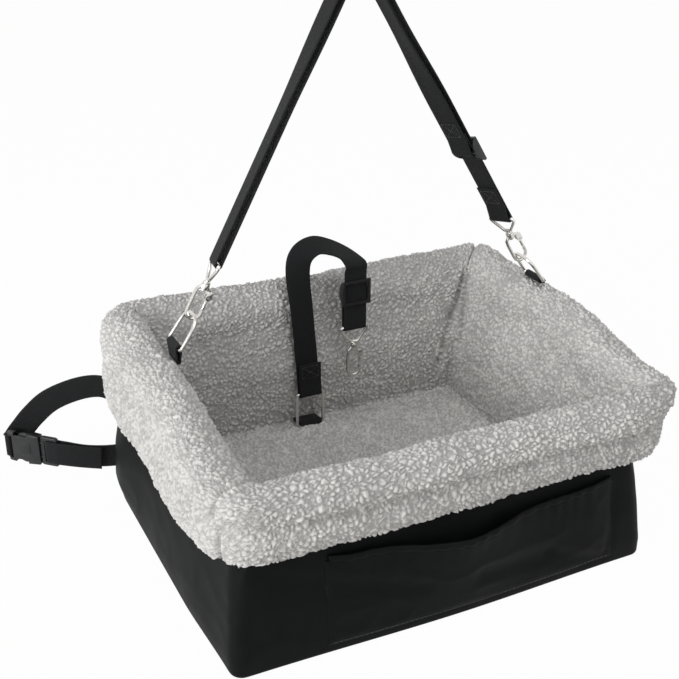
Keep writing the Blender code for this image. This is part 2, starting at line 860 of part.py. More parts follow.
def hook_pin(name, place):
    pivot = place @ Matrix.Translation((HOOK_HALF_WIDTH, 0.0, GATE_PIVOT))
    half = GATE_TONGUE / 2 + CLEAR + FORK_CHEEK + 0.0002
    return cylinder(name, PIN_RADIUS, -half, half, nickel(), pivot, "Y", 12)


def hook_eye(name, place, turn):
    """Eye for the webbing, with the stem and head that turn in the hook's collar."""
    spun = place @ Matrix.Rotation(math.radians(turn), 4, "Z")
    base = COLLAR_BASE + COLLAR_LENGTH + CLEAR
    corner = WIRE_RADIUS * 1.6
    neck = base + EYE_NECK
    upper = arc((EYE_HALF - corner, HOOK_LENGTH - corner), corner, 0.0, 90.0, 4)
    right = [(EYE_NECK, neck), (EYE_HALF - 0.0010, HOOK_LENGTH - EYE_FLARE)] + upper
    left = [(-y, z) for y, z in reversed(right)]
    points = [(0.0, y, z) for y, z in right + left]
    eye = wire(name, points, WIRE_RADIUS, nickel(), closed=True, place=spun)
    head_top = COLLAR_BASE - CLEAR
    head_low = head_top - HEAD_THICKNESS
    stem_low, stem_high = head_low + HEAD_THICKNESS / 4, neck + WIRE_RADIUS / 3
    joined(eye, cylinder(name + "_stem", WIRE_RADIUS, stem_low, stem_high, nickel(), spun))
    joined(eye, cylinder(name + "_head", COLLAR_RADIUS - 0.0010, head_low, head_top, nickel(), spun))
    shoulder = base + 0.0014
    joined(eye, cylinder(name + "_shoulder", COLLAR_RADIUS - CLEAR, base, shoulder, nickel(), spun))
    return eye


def snap_hook(prefix, place, eye_turn, parent):
    """The four pieces of a swivel snap hook. Its loop turns about local Z on the eye's stem."""
    hang(hook_eye(prefix + "_eye", place, eye_turn), parent)
    axis = pivot_at(prefix + "_axis", place.translation, parent)
    for part in (hook_body(prefix + "_body", place), hook_gate(prefix + "_gate", place)):
        hang(part, axis)
    hang(hook_pin(prefix + "_pin", place), axis)


# Tri-glides


def glide_side_outline():
    """Crescent cheek in (x, z): straight outside, curved inside down to the centre bar."""
    front = WEB_THICKNESS / 2 + CLEAR
    depth = front + WEB_THICKNESS + 2 * CLEAR + 2 * WIRE_RADIUS + 0.0002
    half = GLIDE_HALF_LENGTH
    steps = [half * (1 - 2 * i / 10) for i in range(11)]
    inner = [(front - depth * (1 - (z / half) ** 2), z) for z in steps]
    return [(front + GLIDE_PLATE, -half), (front + GLIDE_PLATE, half)] + inner


def tri_glide(name, place):
    """Slider with two front bars and a centre bar set back behind the running webbing."""
    front = WEB_THICKNESS / 2 + CLEAR
    inner = WEB_WIDTH / 2 + RUN
    outer = inner + GLIDE_SIDE
    outline = glide_side_outline()
    half = GLIDE_HALF_LENGTH
    reach = outer - GLIDE_INSET
    far = front + GLIDE_PLATE
    edge = half - GLIDE_INSET / 2
    made_of = black_plastic()
    glide = box(name, (front, -reach, half - GLIDE_BAR), (far, reach, edge), made_of, place)
    for sign, cheek_name in ((-1, "_cheek_a"), (1, "_cheek_b")):
        shift = place @ Matrix.Translation((0.0, sign * (inner + outer) / 2, 0.0))
        joined(glide, plate(name + cheek_name, outline, GLIDE_SIDE, made_of, place=upright(shift)))
    low, high = (front, -reach, -edge), (far, reach, GLIDE_BAR - half)
    joined(glide, box(name + "_lower", low, high, made_of, place))
    centre = place @ Matrix.Translation((glide_bar_offset(), 0.0, 0.0))
    joined(glide, cylinder(name + "_bar", WIRE_RADIUS, -reach, reach, made_of, centre, "Y", 14))
    return glide


def glide_bar_offset():
    """Distance of the centre bar behind the running webbing."""
    return -(WEB_THICKNESS / 2 + CLEAR + WEB_THICKNESS + CLEAR + WIRE_RADIUS)


def glide_frame(branch, s):
    """Frame of a slider on a branch's outer layer."""
    made = frame(branch.point(s, BAR_WRAP), branch.along, branch.side(s))
    if (made.to_3x3() @ Vector((1, 0, 0))).dot(branch.turned(branch.outward, s)) < 0:
        made = frame(branch.point(s, BAR_WRAP), branch.along, -branch.side(s))
    return made


def sewn_end(name, branch, s, length, way=1):
    """The strap's end, folded round the slider's centre bar and sewn on itself. way -1 puts it below."""
    middle = BAR_WRAP + glide_bar_offset()
    raw = -BAR_WRAP + LAYER_STEP
    places = [s + way * length * (1.0 - share) for share in (0.0, 0.2, 0.4, 0.6)]
    stations = [(branch.point(place, -BAR_WRAP), branch.side(place)) for place in places]
    stations += [(branch.point(s + way * 0.007, middle - BAR_WRAP * 0.85), branch.side(s))]
    stations += branch.wrap(s, middle, -1, way)
    stations += [
        (branch.point(s + way * 0.008, raw + 0.0004), branch.side(s)),
        (branch.point(s + way * length * 0.6, raw), branch.side(s)),
    ]
    return ribbon_through(name, stations)


# Hanging strap


def apex_turn(offset, steps=10):
    """The rounded top of the strap, from the right branch over to the left."""
    left, right = strap_branch("left"), strap_branch("right")
    half = left.along.angle(right.along) / 2
    down = -(left.along + right.along).normalized()
    centre = apex() + down * APEX_RADIUS / math.sin(half)
    made = []
    for i in range(steps + 1):
        out = right.outward.slerp(left.outward, i / steps)
        made.append((centre + out * (APEX_RADIUS + offset), Vector((0, 1, 0))))
    return made


def apex_reach():
    """Distance from an eye to where the strap starts to round its top."""
    left, right = strap_branch("left"), strap_branch("right")
    half = left.along.angle(right.along) / 2
    tangent = APEX_RADIUS / math.tan(half)
    return (apex() - left.eye).length - tangent, (apex() - right.eye).length - tangent


def slider_place():
    right = strap_branch("right")
    return (SLIDER_HEIGHT_Z - right.eye.z) / right.along.z


def hanging_strap():
    """One length of webbing: right eye, slider, top, round the left eye and back over the top."""
    left, right = strap_branch("left"), strap_branch("right")
    left_reach, right_reach = apex_reach()
    raw = BAR_WRAP - LAYER_STEP
    places = [SEWN_END * share for share in (1.0, 0.7, 0.4)]
    stations = [(right.point(s, raw), right.side(s)) for s in places]
    stations += right.wrap(0.0, 0.0, -1)
    stations += right.run(0.006, right_reach, BAR_WRAP, 18)
    stations += apex_turn(BAR_WRAP)[1:]
    stations += left.run(left_reach - 0.006, 0.006, BAR_WRAP, 10)
    stations += left.wrap(0.0, 0.0, 1)
    stations += left.run(0.006, left_reach, -BAR_WRAP, 10)
    stations += list(reversed(apex_turn(-BAR_WRAP)))[1:]
    end = slider_place() + SEWN_END + CLEAR
    stations += right.run(right_reach - 0.006, end, -BAR_WRAP, 12)
    return ribbon_through("hanging_strap", stations)


def hanging_assembly():
    """Everything that swings on the two rings, about a line through the hooks' lowest points."""
    swing = pivot_at("strap_swing_axis", hook_frame("left").translation)
    right = strap_branch("right")
    hang(hanging_strap(), swing)
    hang(tri_glide("strap_slider", glide_frame(right, slider_place())), swing)
    hang(sewn_end("strap_end", right, slider_place(), SEWN_END), swing)
    for side in ("left", "right"):
        snap_hook(side + "_hook", hook_frame(side), strap_twist(side), swing)


# Tether inside the box


def smooth_stations(controls, steps=4):
    """A smooth path through (point, across) pairs, with across kept square to the path."""
    points = smooth_path([p for p, _ in controls], steps)
    sides = smooth_path([a for _, a in controls], steps)
    ahead = points[1:] + points[-1:]
    behind = points[:1] + points[:-1]
    made = []
    for point, side, after, before in zip(points, sides, ahead, behind):
        along = (after - before).normalized()
        made.append((point, (side - along * side.dot(along)).normalized()))
    return made


def tether_ring_top():
    return Vector((TETHER_X, TETHER_Y, TETHER_RING_Z + TETHER_RING_HEIGHT))


def tether_anchor():
    """Webbing tab sewn into the crease between floor and back wall, round the ring's lower bar."""
    floor = inner_stack()[4] + FLEECE_THICKNESS
    wall = FLEECE_THICKNESS / 2 - fleece_profile()[0][0] + 3 * CLEAR
    crease = half_sizes(floor, -wall)[1]
    root = Vector((TETHER_X, crease, floor + LAYER_STEP + 2 * CLEAR))
    bar = Vector((TETHER_X, TETHER_Y, TETHER_RING_Z))
    return folded_tab("tether_anchor", bar, root, (1, 0, 0))


def tether_ring():
    place = frame((TETHER_X, TETHER_Y, TETHER_RING_Z), (0, 0, 1), (1, 0, 0))
    return d_ring("tether_ring", TETHER_RING_HEIGHT, TETHER_RING_CORNER, 0.0, place)


def tether_strap():
    """From the ring up the back wall, twisted over an arch, down through the slider to the snap."""
    top = tether_ring_top()
    across = Vector((1, 0, 0))
    front = LAYER_STEP - BAR_WRAP
    stations = [(top + Vector((0, y, z)), across) for y, z in ((front, 0.034), (front, 0.012))]
    for angle in (math.pi * i / 8 for i in range(9)):
        shift = Vector((0, -math.cos(angle), -math.sin(angle)))
        stations.append((top + shift * BAR_WRAP, across))
    branch = tether_branch()
    start = branch.point(TETHER_SLIDER_Z - TETHER_EYE_Z + GLIDE_HALF_LENGTH + 0.0075, BAR_WRAP)
    back = top.y + BAR_WRAP
    arch = TETHER_ARCH_Z
    controls = [
        (Vector((top.x - 0.0005, back, top.z + 0.010)), across),
        (Vector((top.x - 0.002, back + 0.001, top.z + 0.040)), across),
        (Vector((top.x - 0.005, back + 0.004, arch - 0.066)), across),
        (Vector((top.x - 0.008, back + 0.006, arch - 0.026)), Vector((0.97, 0.25, 0))),
        (Vector((top.x - 0.003, back + 0.008, arch - 0.008)), Vector((0.70, 0.70, 0))),
        (Vector((top.x + 0.012, back + 0.009, arch)), Vector((0.0, 1.0, 0))),
        (Vector((top.x + 0.028, back + 0.005, arch - 0.003)), Vector((-0.3, 1.0, 0))),
        (Vector((top.x + 0.0415, back - 0.003, arch - 0.010)), Vector((-0.75, 0.65, 0))),
        (start + Vector((0, 0, 0.0085)), Vector((-1.0, 0.1, 0))),
        (start, -across),
    ]
    stations += smooth_stations(controls)
    stations += [(p, -across) for p, _ in branch.run(start.z - TETHER_EYE_Z - 0.006, 0.006, BAR_WRAP, 8)]
    stations += [(p, -across) for p, _ in branch.wrap(0.0, 0.0, 1)]
    end = TETHER_SLIDER_Z - TETHER_EYE_Z - TETHER_SEWN_END - CLEAR
    stations += [(p, -across) for p, _ in branch.run(0.006, end, -BAR_WRAP, 6)]
    return ribbon_through("tether_strap", stations)


def tether_assembly():
    """Everything that turns on the tether ring's lower bar."""
    swing = pivot_at("tether_swing_axis", (TETHER_X, TETHER_Y, TETHER_RING_Z))
    branch = tether_branch()
    place = TETHER_SLIDER_Z - TETHER_EYE_Z
    hang(tether_ring(), swing)
    hang(tether_strap(), swing)
    hang(tri_glide("tether_slider", glide_frame(branch, place)), swing)
    hang(sewn_end("tether_end", branch, place, TETHER_SEWN_END, -1), swing)
    bottom = branch.eye - Vector((0, 0, HOOK_LENGTH))
    snap_hook("tether_hook", frame(bottom, (0, 0, 1), (0, 1, 0)), 90.0, swing)


# Rear belt and its buckle


def buckle_frame():
    """Local X from socket to clip, local Y up, local Z toward the outside of the belt."""
    along = Matrix.Rotation(math.radians(BUCKLE_AZIMUTH), 3, "Z") @ Vector((1, 0, 0))
    outward = along.cross(Vector((0, 0, 1)))
    made = Matrix((along, Vector((0, 0, 1)), outward)).transposed().to_4x4()
    made.translation = Vector((BUCKLE_X, BUCKLE_Y, BUCKLE_Z)) - along * CLIP_LENGTH
    return made


def behind(x, z, gap=0.0):
    """Middle of webbing that lies against the back panel."""
    return Vector((x, half_sizes(z - WEB_WIDTH / 2, CLEAR + WEB_THICKNESS / 2 + gap)[1], z))


def past_corner(left, back, z):
    """A point off the box, from its back left corner."""
    return Vector((-BASE_WIDTH / 2 - left, BASE_DEPTH / 2 + back, z))


def web_slot():
    """Half height of a slot for the webbing."""
    return WEB_WIDTH / 2 + CLEAR


def rounded(low_x, high_x, half_y, radius):
    """A rectangle with round corners, as an outline."""
    centres = [(high_x - radius, half_y - radius, 0), (low_x + radius, half_y - radius, 90)]
    centres += [(low_x + radius, radius - half_y, 180), (high_x - radius, radius - half_y, 270)]
    made = []
    for x, y, start in centres:
        made += arc((x, y), radius, start, start + 90, 3)
    return made


def buckle_socket(place):
    """Female half: a flat housing with two side windows and a bar for the webbing."""
    wall = CAVITY_HALF
    near, far = -ARM_SHOULDER + CLEAR, -ARM_LENGTH - 2 * RUN
    h = BUCKLE_HALF_HEIGHT
    corner = 0.003
    window = wall - 0.0006
    top = [(-0.0008, h - 0.0012), (near, h), (near, window), (far, window), (far, h - 0.0005)]
    outer = arc((corner - SOCKET_LENGTH, h - 0.0015 - corner), corner, 90.0, 180.0, 3)
    upper = [(0.0, h - 0.0025)] + top + outer
    outline = upper + [(x, -y) for x, y in reversed(upper)]
    made_of = black_plastic()
    socket = plate("buckle_socket", outline, BUCKLE_THICKNESS, made_of, edge=0.0008, place=place)
    inner = BUCKLE_THICKNESS / 2 - BUCKLE_WALL
    boolean(socket, box("socket_cavity", (-SOCKET_DEPTH, -wall, -inner), (0.01, wall, inner), made_of, place))
    bar = 0.7 * WIRE_RADIUS
    slot = rounded(WEB_BAR_X + bar, -SOCKET_DEPTH - BUCKLE_WALL, web_slot(), 0.0012)
    boolean(socket, plate("socket_slot", slot, 2 * BUCKLE_THICKNESS, made_of, place=place))
    thin = BUCKLE_THICKNESS / 2
    for sign, name in ((1, "socket_thin_front"), (-1, "socket_thin_back")):
        low_z, high_z = sorted((sign * bar, sign * 2 * thin))
        far_x = WEB_BAR_X + bar + 0.001
        boolean(socket, box(name, (-0.05, -0.03, low_z), (far_x, 0.03, high_z), made_of, place))
    pad = rounded(-0.0265, -0.0105, 0.0060, 0.0015)
    raised = place @ Matrix.Translation((0.0, 0.0, thin))
    joined(socket, plate("socket_pad", pad, 0.0010, made_of, place=raised))
    return socket


def buckle_clip(place):
    """Male half: guide prong and ladder frame with two slots for the webbing."""
    h = BUCKLE_HALF_HEIGHT - 0.0012
    frame_outline = rounded(CLEAR, CLIP_LENGTH, h, 0.003)
    clip = plate("buckle_clip", frame_outline, CLIP_THICKNESS, black_plastic(), edge=0.0007, place=place)
    prong = rounded(-ARM_LENGTH + 0.004, 0.003, 0.0018, 0.0015)
    joined(clip, plate("clip_prong", prong, ARM_THICKNESS, black_plastic(), place=place))
    for low, high, name in ((0.0050, 0.0096, "clip_slot_a"), (0.0124, 0.0166, "clip_slot_b")):
        slot = rounded(low, high, web_slot(), 0.001)
        boolean(clip, plate(name, slot, 2 * BUCKLE_THICKNESS, black_plastic(), place=place))
    for sign, name in ((1, "clip_notch_upper"), (-1, "clip_notch_lower")):
        low_y, high_y = sorted((sign * (ARM_ROOT - 0.0022), sign * (ARM_ROOT + 0.0022)))
        notch_end = ARM_SEAT + CLEAR
        boolean(clip, box(name, (-0.001, low_y, -0.01), (notch_end, high_y, 0.01), black_plastic(), place))
    return clip


def clip_arm(name, place, sign):
    """Sprung side arm of the clip: thin root, shoulder that locks, and a rounded thumb pad."""
    lug = CAVITY_HALF + LUG_OVERHANG
    tip, lock, wall = -ARM_LENGTH, -ARM_SHOULDER, CAVITY_HALF
    outer = [(ARM_SEAT, ARM_ROOT + 0.0014), (-0.006, ARM_ROOT + 0.0017), (lock + 0.002, wall - 0.0022)]
    outer += [(lock + 0.0003, wall - 0.0016), (lock, lug), (lock - 0.004, lug + 0.0004)]
    outer += [(tip + 0.005, lug - 0.001), (tip + 0.001, lug - 0.0045)]
    inner = [(tip, lug - 0.0070), (tip + 0.003, lug - 0.0078), (lock + 0.001, wall - 0.0055)]
    inner += [(-0.006, ARM_ROOT - 0.0013), (ARM_SEAT, ARM_ROOT - 0.0014)]
    outline = [(x, sign * y) for x, y in outer + inner]
    pivot = place @ Matrix.Translation((0.0, sign * ARM_ROOT, 0.0))
    local = [(x, y - sign * ARM_ROOT) for x, y in outline]
    return plate(name, local, ARM_THICKNESS, black_plastic(), edge=0.0005, place=pivot)


def belt_upper(place):
    """Upper strand: from the back panel down behind the socket, round its bar and in at the slot."""
    up = Vector((0, 0, 1))
    controls = [(behind(BELT_UPPER_X, BELT_UPPER_Z), up)]
    controls += [(behind(BELT_UPPER_X - 0.022, BELT_UPPER_Z - 0.001, 0.002), up)]
    controls += [(past_corner(*point), up) for point in BELT_UPPER_ROUTE]
    for x, y, z in ((0.0104, 0.0140, -0.0107), (0.0045, 0.0060, -0.0082), (0.0008, 0.0012, -0.0054)):
        controls.append((place @ Vector((WEB_BAR_X + x, y, z)), up))
    wraps = []
    for angle in (math.radians(50.0 + 23.5 * i) for i in range(11)):
        x = WEB_BAR_X - BAR_WRAP * math.sin(angle)
        wraps.append((place @ Vector((x, 0.0, -BAR_WRAP * math.cos(angle))), up))
    return ribbon_through("belt_upper", smooth_stations(controls, 3) + wraps)


def belt_lower(place):
    """Lower strand: behind the back panel, out to the clip, round its bar and back as a tail."""
    up = Vector((0, 0, 1))
    level = CLIP_THICKNESS / 2 + CLEAR + WEB_THICKNESS / 2
    controls = [(behind(BELT_ANCHOR_X, BELT_ANCHOR_Z), up)]
    controls += [(behind(BELT_ANCHOR_X - 0.02, BELT_ANCHOR_Z - 0.004, 0.0006), up)]
    controls += [(behind(x, z, 0.0025), up) for x, z in BELT_BACK_ROUTE]
    controls += [(past_corner(*point), up) for point in BELT_LOWER_ROUTE]
    controls += [(place @ Vector((x, 0.0, -level)), up) for x in (CLIP_LENGTH + 0.0055, CLIP_LENGTH)]
    turn = []
    for angle in (math.pi * i / 8 for i in range(9)):
        x = CLIP_TURN - level * math.sin(angle)
        turn.append((place @ Vector((x, 0.0, -level * math.cos(angle))), up))
    tail = [(place @ Vector((CLIP_LENGTH, 0.0, level)), up)]
    tail += [(past_corner(*point), up) for point in BELT_TAIL_ROUTE]
    stations = smooth_stations(controls, 3) + turn + smooth_stations(tail, 2)
    return ribbon_through("belt_lower", stations)


def rear_belt():
    """The belt, with the socket and its strand on the empty that slides when it is released."""
    place = buckle_frame()
    slide = pivot_at("buckle_release_axis", place.translation)
    hang(buckle_socket(place), slide)
    hang(belt_upper(place), slide)
    buckle_clip(place)
    clip_arm("clip_arm_upper", place, 1)
    clip_arm("clip_arm_lower", place, -1)
    belt_lower(place)


def build():
    clear_scene()
    outer_shell()
    base_board()
    base_pad()
    wall_boards()
    fleece_liner()
    rim_foam()
    front_pocket()
    pocket_elastic()
    for side in ("left", "right"):
        rim_ring(side)
        rim_tab(side)
    hanging_assembly()
    tether_anchor()
    tether_assembly()
    rear_belt()


build()
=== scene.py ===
"""Hanging dog booster seat: fleece, nylon, webbing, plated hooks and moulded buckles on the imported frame."""

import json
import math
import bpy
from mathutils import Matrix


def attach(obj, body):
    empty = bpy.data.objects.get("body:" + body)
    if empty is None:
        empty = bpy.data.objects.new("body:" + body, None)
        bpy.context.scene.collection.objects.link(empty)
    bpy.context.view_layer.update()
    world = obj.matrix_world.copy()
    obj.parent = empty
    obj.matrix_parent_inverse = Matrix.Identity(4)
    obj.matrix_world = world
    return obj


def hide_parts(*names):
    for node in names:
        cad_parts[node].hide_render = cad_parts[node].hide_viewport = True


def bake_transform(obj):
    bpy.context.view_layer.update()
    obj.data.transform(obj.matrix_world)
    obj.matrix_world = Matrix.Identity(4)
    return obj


bl_info = {
    "name": "Hanging dog booster seat",
    "version": (1, 0, 0),
    "blender": (4, 5, 0),
    "location": "3D View > Sidebar > Booster Seat",
    "description": "Dresses the booster seat's frame in fleece, nylon cloth, webbing and hardware",
    "category": "Object",
}

from itertools import product

import bmesh
import bpy
import numpy as np
from mathutils import Matrix, Vector, noise

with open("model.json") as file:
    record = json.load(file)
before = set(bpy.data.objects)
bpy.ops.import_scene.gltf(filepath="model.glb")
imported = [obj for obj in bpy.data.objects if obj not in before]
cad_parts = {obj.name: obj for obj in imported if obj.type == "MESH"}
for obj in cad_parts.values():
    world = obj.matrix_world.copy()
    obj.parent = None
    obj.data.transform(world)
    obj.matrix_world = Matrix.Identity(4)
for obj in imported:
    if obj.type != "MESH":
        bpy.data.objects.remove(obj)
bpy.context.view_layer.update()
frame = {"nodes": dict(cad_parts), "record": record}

# Sizes shared with the frame, in metres
CLEAR = 0.0003
BASE_WIDTH = 0.400
BASE_DEPTH = 0.332
WAIST_HEIGHT = 0.100
WAIST_TAPER = 0.0085
RIM_HEIGHT = 0.184
RIM_SPREAD_X = 0.005
RIM_SPREAD_Y = 0.009
RIM_RISE = 0.0045
SWAY_FRONT = 0.004
SWAY_BACK = 0.022
CORNER_RADIUS = 0.012
RIM_CORNER = 0.018
LEAST_CORNER = 0.0075
FOOT_RADIUS = 0.0045
SHELL_TOP = RIM_HEIGHT - 0.024
SHELL_THICKNESS = 0.0012
FLOOR_LOW = 0.0261
FLEECE_THICKNESS = 0.008
WALL_FACE = -0.0154
ROLL_RADIUS = 0.019
CUFF_HEM = RIM_HEIGHT - 0.070
CUFF_GROOVE = RIM_HEIGHT - 0.034
POCKET_LEFT = 0.078 - BASE_WIDTH / 2
POCKET_RIGHT = BASE_WIDTH / 2 - 0.038
POCKET_TOP = WAIST_HEIGHT - 0.017
POCKET_BOTTOM = 0.009
POCKET_BULGE = 0.016
POCKET_LOOSE = 0.005
POCKET_THICKNESS = 0.0009
POCKET_GAP = 0.0009
GAPE_HALF = 0.085
HEM_RADIUS = 0.0016
WEB_WIDTH = 0.025
WEB_THICKNESS = 0.0016
WIRE_RADIUS = 0.0018
HANG_Y = 0.062

PIECES = bpy.data.collections.new("booster_seat_pieces")
bpy.context.scene.collection.children.link(PIECES)


# Meshes


def add_piece(name, mesh, made_of, body="seat", smooth=True):
    """A visible piece that rides on one body of the frame."""
    piece = bpy.data.objects.new(name, mesh)
    PIECES.objects.link(piece)
    mesh.materials.clear()
    mesh.materials.append(made_of)
    if smooth:
        mesh.shade_smooth()
    if body:
        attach(piece, body)
    return piece


def mesh_from(name, points, faces):
    mesh = bpy.data.meshes.new(name)
    mesh.from_pydata([tuple(p) for p in points], [], faces)
    mesh.validate()
    mesh.update()
    return mesh


def coordinates(mesh):
    found = np.empty(len(mesh.vertices) * 3)
    mesh.vertices.foreach_get("co", found)
    return found.reshape(-1, 3)


def normals(mesh):
    found = np.empty(len(mesh.vertices) * 3)
    mesh.vertices.foreach_get("normal", found)
    return found.reshape(-1, 3)


def set_coordinates(mesh, points):
    mesh.vertices.foreach_set("co", np.asarray(points).ravel())
    mesh.update()


def add_values(mesh, name, values):
    """One number for each vertex, for a material to read."""
    data = np.asarray(values, dtype=np.float32)
    mesh.attributes.new(name, "FLOAT", "POINT").data.foreach_set("value", data)


def add_vectors(mesh, name, values):
    """One vector for each vertex, for a material to read."""
    data = np.asarray(values, dtype=np.float32).ravel()
    mesh.attributes.new(name, "FLOAT_VECTOR", "POINT").data.foreach_set("vector", data)


def applied(mesh, *modifiers):
    """The mesh with modifiers applied; each is (type, settings)."""
    holder = bpy.data.objects.new("holder", mesh)
    PIECES.objects.link(holder)
    for kind, settings in modifiers:
        modifier = holder.modifiers.new(kind, kind)
        for key, value in settings.items():
            setattr(modifier, key, value)
    graph = bpy.context.evaluated_depsgraph_get()
    made = bpy.data.meshes.new_from_object(holder.evaluated_get(graph))
    bpy.data.objects.remove(holder)
    return made


def subdivided(mesh, levels):
    return applied(mesh, ("SUBSURF", {"levels": levels, "render_levels": levels}))


def grid_faces(rows, columns, closed=False, start=0):
    """Quads between rows of points, numbered row by row."""
    faces = []
    for row in range(rows - 1):
        for column in range(columns if closed else columns - 1):
            after = (column + 1) % columns
            low, high = start + row * columns, start + (row + 1) * columns
            faces.append((low + column, low + after, high + after, high + column))
    return faces


def tube_faces(rings, sides, start=0):
    """The sides of a tube made of rings of points, and a face over each of its ends."""
    last = start + (rings - 1) * sides
    ends = [tuple(range(start, start + sides))[::-1], tuple(range(last, last + sides))]
    return grid_faces(rings, sides, closed=True, start=start) + ends


# Curves and easing


def blend(value, low, high):
    """Eases from 0 to 1 as value goes from low to high."""
    t = np.clip((value - low) / (high - low), 0.0, 1.0)
    return t * t * (3.0 - 2.0 * t)


def bump(distance, width):
    """1 at distance 0, easing to 0 at width."""
    return 1.0 - blend(np.abs(distance), 0.0, width)


def arc(centre, radius, start, end, steps):
    angles = np.radians(np.linspace(start, end, steps + 1))
    return [(centre[0] + radius * math.cos(t), centre[1] + radius * math.sin(t)) for t in angles]


def smooth_path(points, steps):
    """A curve through the points, its number of steps the same between each two."""
    points = [Vector(p) for p in points]
    ends = [2 * points[0] - points[1]] + points + [2 * points[-1] - points[-2]]
    made = []
    for p0, p1, p2, p3 in zip(ends, ends[1:], ends[2:], ends[3:]):
        for i in range(steps):
            t = i / steps
            cubic = (2 * p0 - 5 * p1 + 4 * p2 - p3) * t * t + (3 * p1 - p0 - 3 * p2 + p3) * t**3
            made.append(0.5 * (2 * p1 + (p2 - p0) * t + cubic))
    return made + [points[-1]]


def spaced(line, step):
    """Points along a 2D line, at most a step apart, its corners kept."""
    made = [line[0]]
    for (a0, b0), (a1, b1) in zip(line, line[1:]):
        count = max(1, math.ceil(math.hypot(a1 - a0, b1 - b0) / step))
        made += [(a0 + (a1 - a0) * i / count, b0 + (b1 - b0) * i / count) for i in range(1, count + 1)]
    return made


def cells(points, size, seed):
    """For each point, how far it stands from the nearest and the second nearest of scattered centres."""
    places = np.asarray(points) / size
    home = np.floor(places).astype(np.int64)
    nearest = np.full(len(places), 9.0)
    second = np.full(len(places), 9.0)
    for shift in product((-1, 0, 1), repeat=3):
        cell = home + shift
        key = cell[:, 0] * 73856093 ^ cell[:, 1] * 19349663 ^ cell[:, 2] * 83492791 ^ seed * 2654435761
        centre = cell.astype(float)
        for axis in range(3):
            key = (key ^ (key >> 13)) * 1274126177 & 0xFFFFFFFF
            key = (key ^ (key >> 16)) & 0xFFFFFFFF
            centre[:, axis] += key / 4294967296.0
        distance = np.linalg.norm(places - centre, axis=1)
        second = np.minimum(second, np.maximum(nearest, distance))
        nearest = np.minimum(nearest, distance)
    return nearest, second


def waves(points, scale, seed):
    """Smooth noise from -1 to 1 whose features are about scale metres wide."""
    shift = Vector((seed * 7.31, seed * 3.17, seed * 1.73))
    return np.array([noise.noise(Vector(p) / scale + shift) for p in points])


# Box geometry: every layer is the same rounded rectangle, moved outward by u


def half_sizes(z, u):
    share = max(0.0, (z - WAIST_HEIGHT) / (RIM_HEIGHT - WAIST_HEIGHT))
    offset = -WAIST_TAPER * (min(z / WAIST_HEIGHT, 1.0) if share == 0.0 else 1.0 - share)
    half_x = BASE_WIDTH / 2 + offset + share * RIM_SPREAD_X + u
    half_y = BASE_DEPTH / 2 + offset + share * RIM_SPREAD_Y + u
    return half_x, half_y


def corner_radius(z, u):
    return max(CORNER_RADIUS + (RIM_CORNER - CORNER_RADIUS) * z / RIM_HEIGHT + u, LEAST_CORNER)


def leaning(x, y, z):
    """Adds the rim's sideways sway and its rise toward the back."""
    share = (z / RIM_HEIGHT) ** 2
    sway = SWAY_FRONT + (SWAY_BACK - SWAY_FRONT) * float(blend(y, -0.45 * BASE_DEPTH, 0.15 * BASE_DEPTH))
    return Vector((x + share * sway, y, z + share * RIM_RISE * y / (BASE_DEPTH / 2)))


def outline(z, u, across, deep, turn):
    """The rounded rectangle at height z: across and deep steps on its sides, turn steps at each corner.

    It starts at the front's left end and runs anticlockwise seen from above.
    """
    half_x, half_y = half_sizes(z, u)
    radius = corner_radius(z, u)
    run_x, run_y = half_x - radius, half_y - radius
    sides = [
        ((-run_x, -half_y), (run_x, -half_y), across, (run_x, -run_y), -90.0),
        ((half_x, -run_y), (half_x, run_y), deep, (run_x, run_y), 0.0),
        ((run_x, half_y), (-run_x, half_y), across, (-run_x, run_y), 90.0),
        ((-half_x, run_y), (-half_x, -run_y), deep, (-run_x, -run_y), 180.0),
    ]
    made = []
    for start, end, count, centre, angle in sides:
        for i in range(count + 1):
            made.append(leaning(*(a + (b - a) * i / count for a, b in zip(start, end)), z))
        made += [leaning(x, y, z) for x, y in arc(centre, radius, angle, angle + 90.0, turn)[1:-1]]
    return made


def outline_marks(across, deep, turn):
    """Column numbers of the four corners' middles, front right first."""
    sides = (across, deep, across, deep)
    marks, start = [], 0
    for count in sides:
        marks.append(start + count + turn // 2)
        start += count + turn
    return marks


# Fleece

ACROSS, DEEP, TURN = 44, 36, 4
FLEECE_STEP = 0.0088
FLEECE_LEVELS = 3
BULGE_PLACE = Vector((-0.175, 0.150, 0.145))
BULGE_REACH = 0.120
BULGE_OUT = Vector((-0.0085, 0.0010, 0.0))
WALL_END = 0.020
CUFF_RUN = 0.115
PUFF_LIMIT = 0.0045
PUFF_PRESSURE = 4.0
PUFF_FRAMES = 20
# How far the fleece hangs away from its pattern
SKIRT_DROP = 0.0060
SKIRT_DROP_LEFT = 0.0130
SKIRT_OUT_LEFT = 0.0080
RIM_DIP = 0.0030
WALL_PRESSED = 0.0065
RIGHT_SAG = 0.0065
# Depths of its seams, of the step under the roll, and of the creases inside each corner
SEAM_HOLLOW = 0.0022
SEAM_PINCH = 0.0034
STEP_DEPTH = 0.0060
CREASE_DEPTH = 0.0058
CREASE_PLACE = 0.0045
CREASE_SPREAD = 0.026
SOFT_HOLLOW = 0.0024


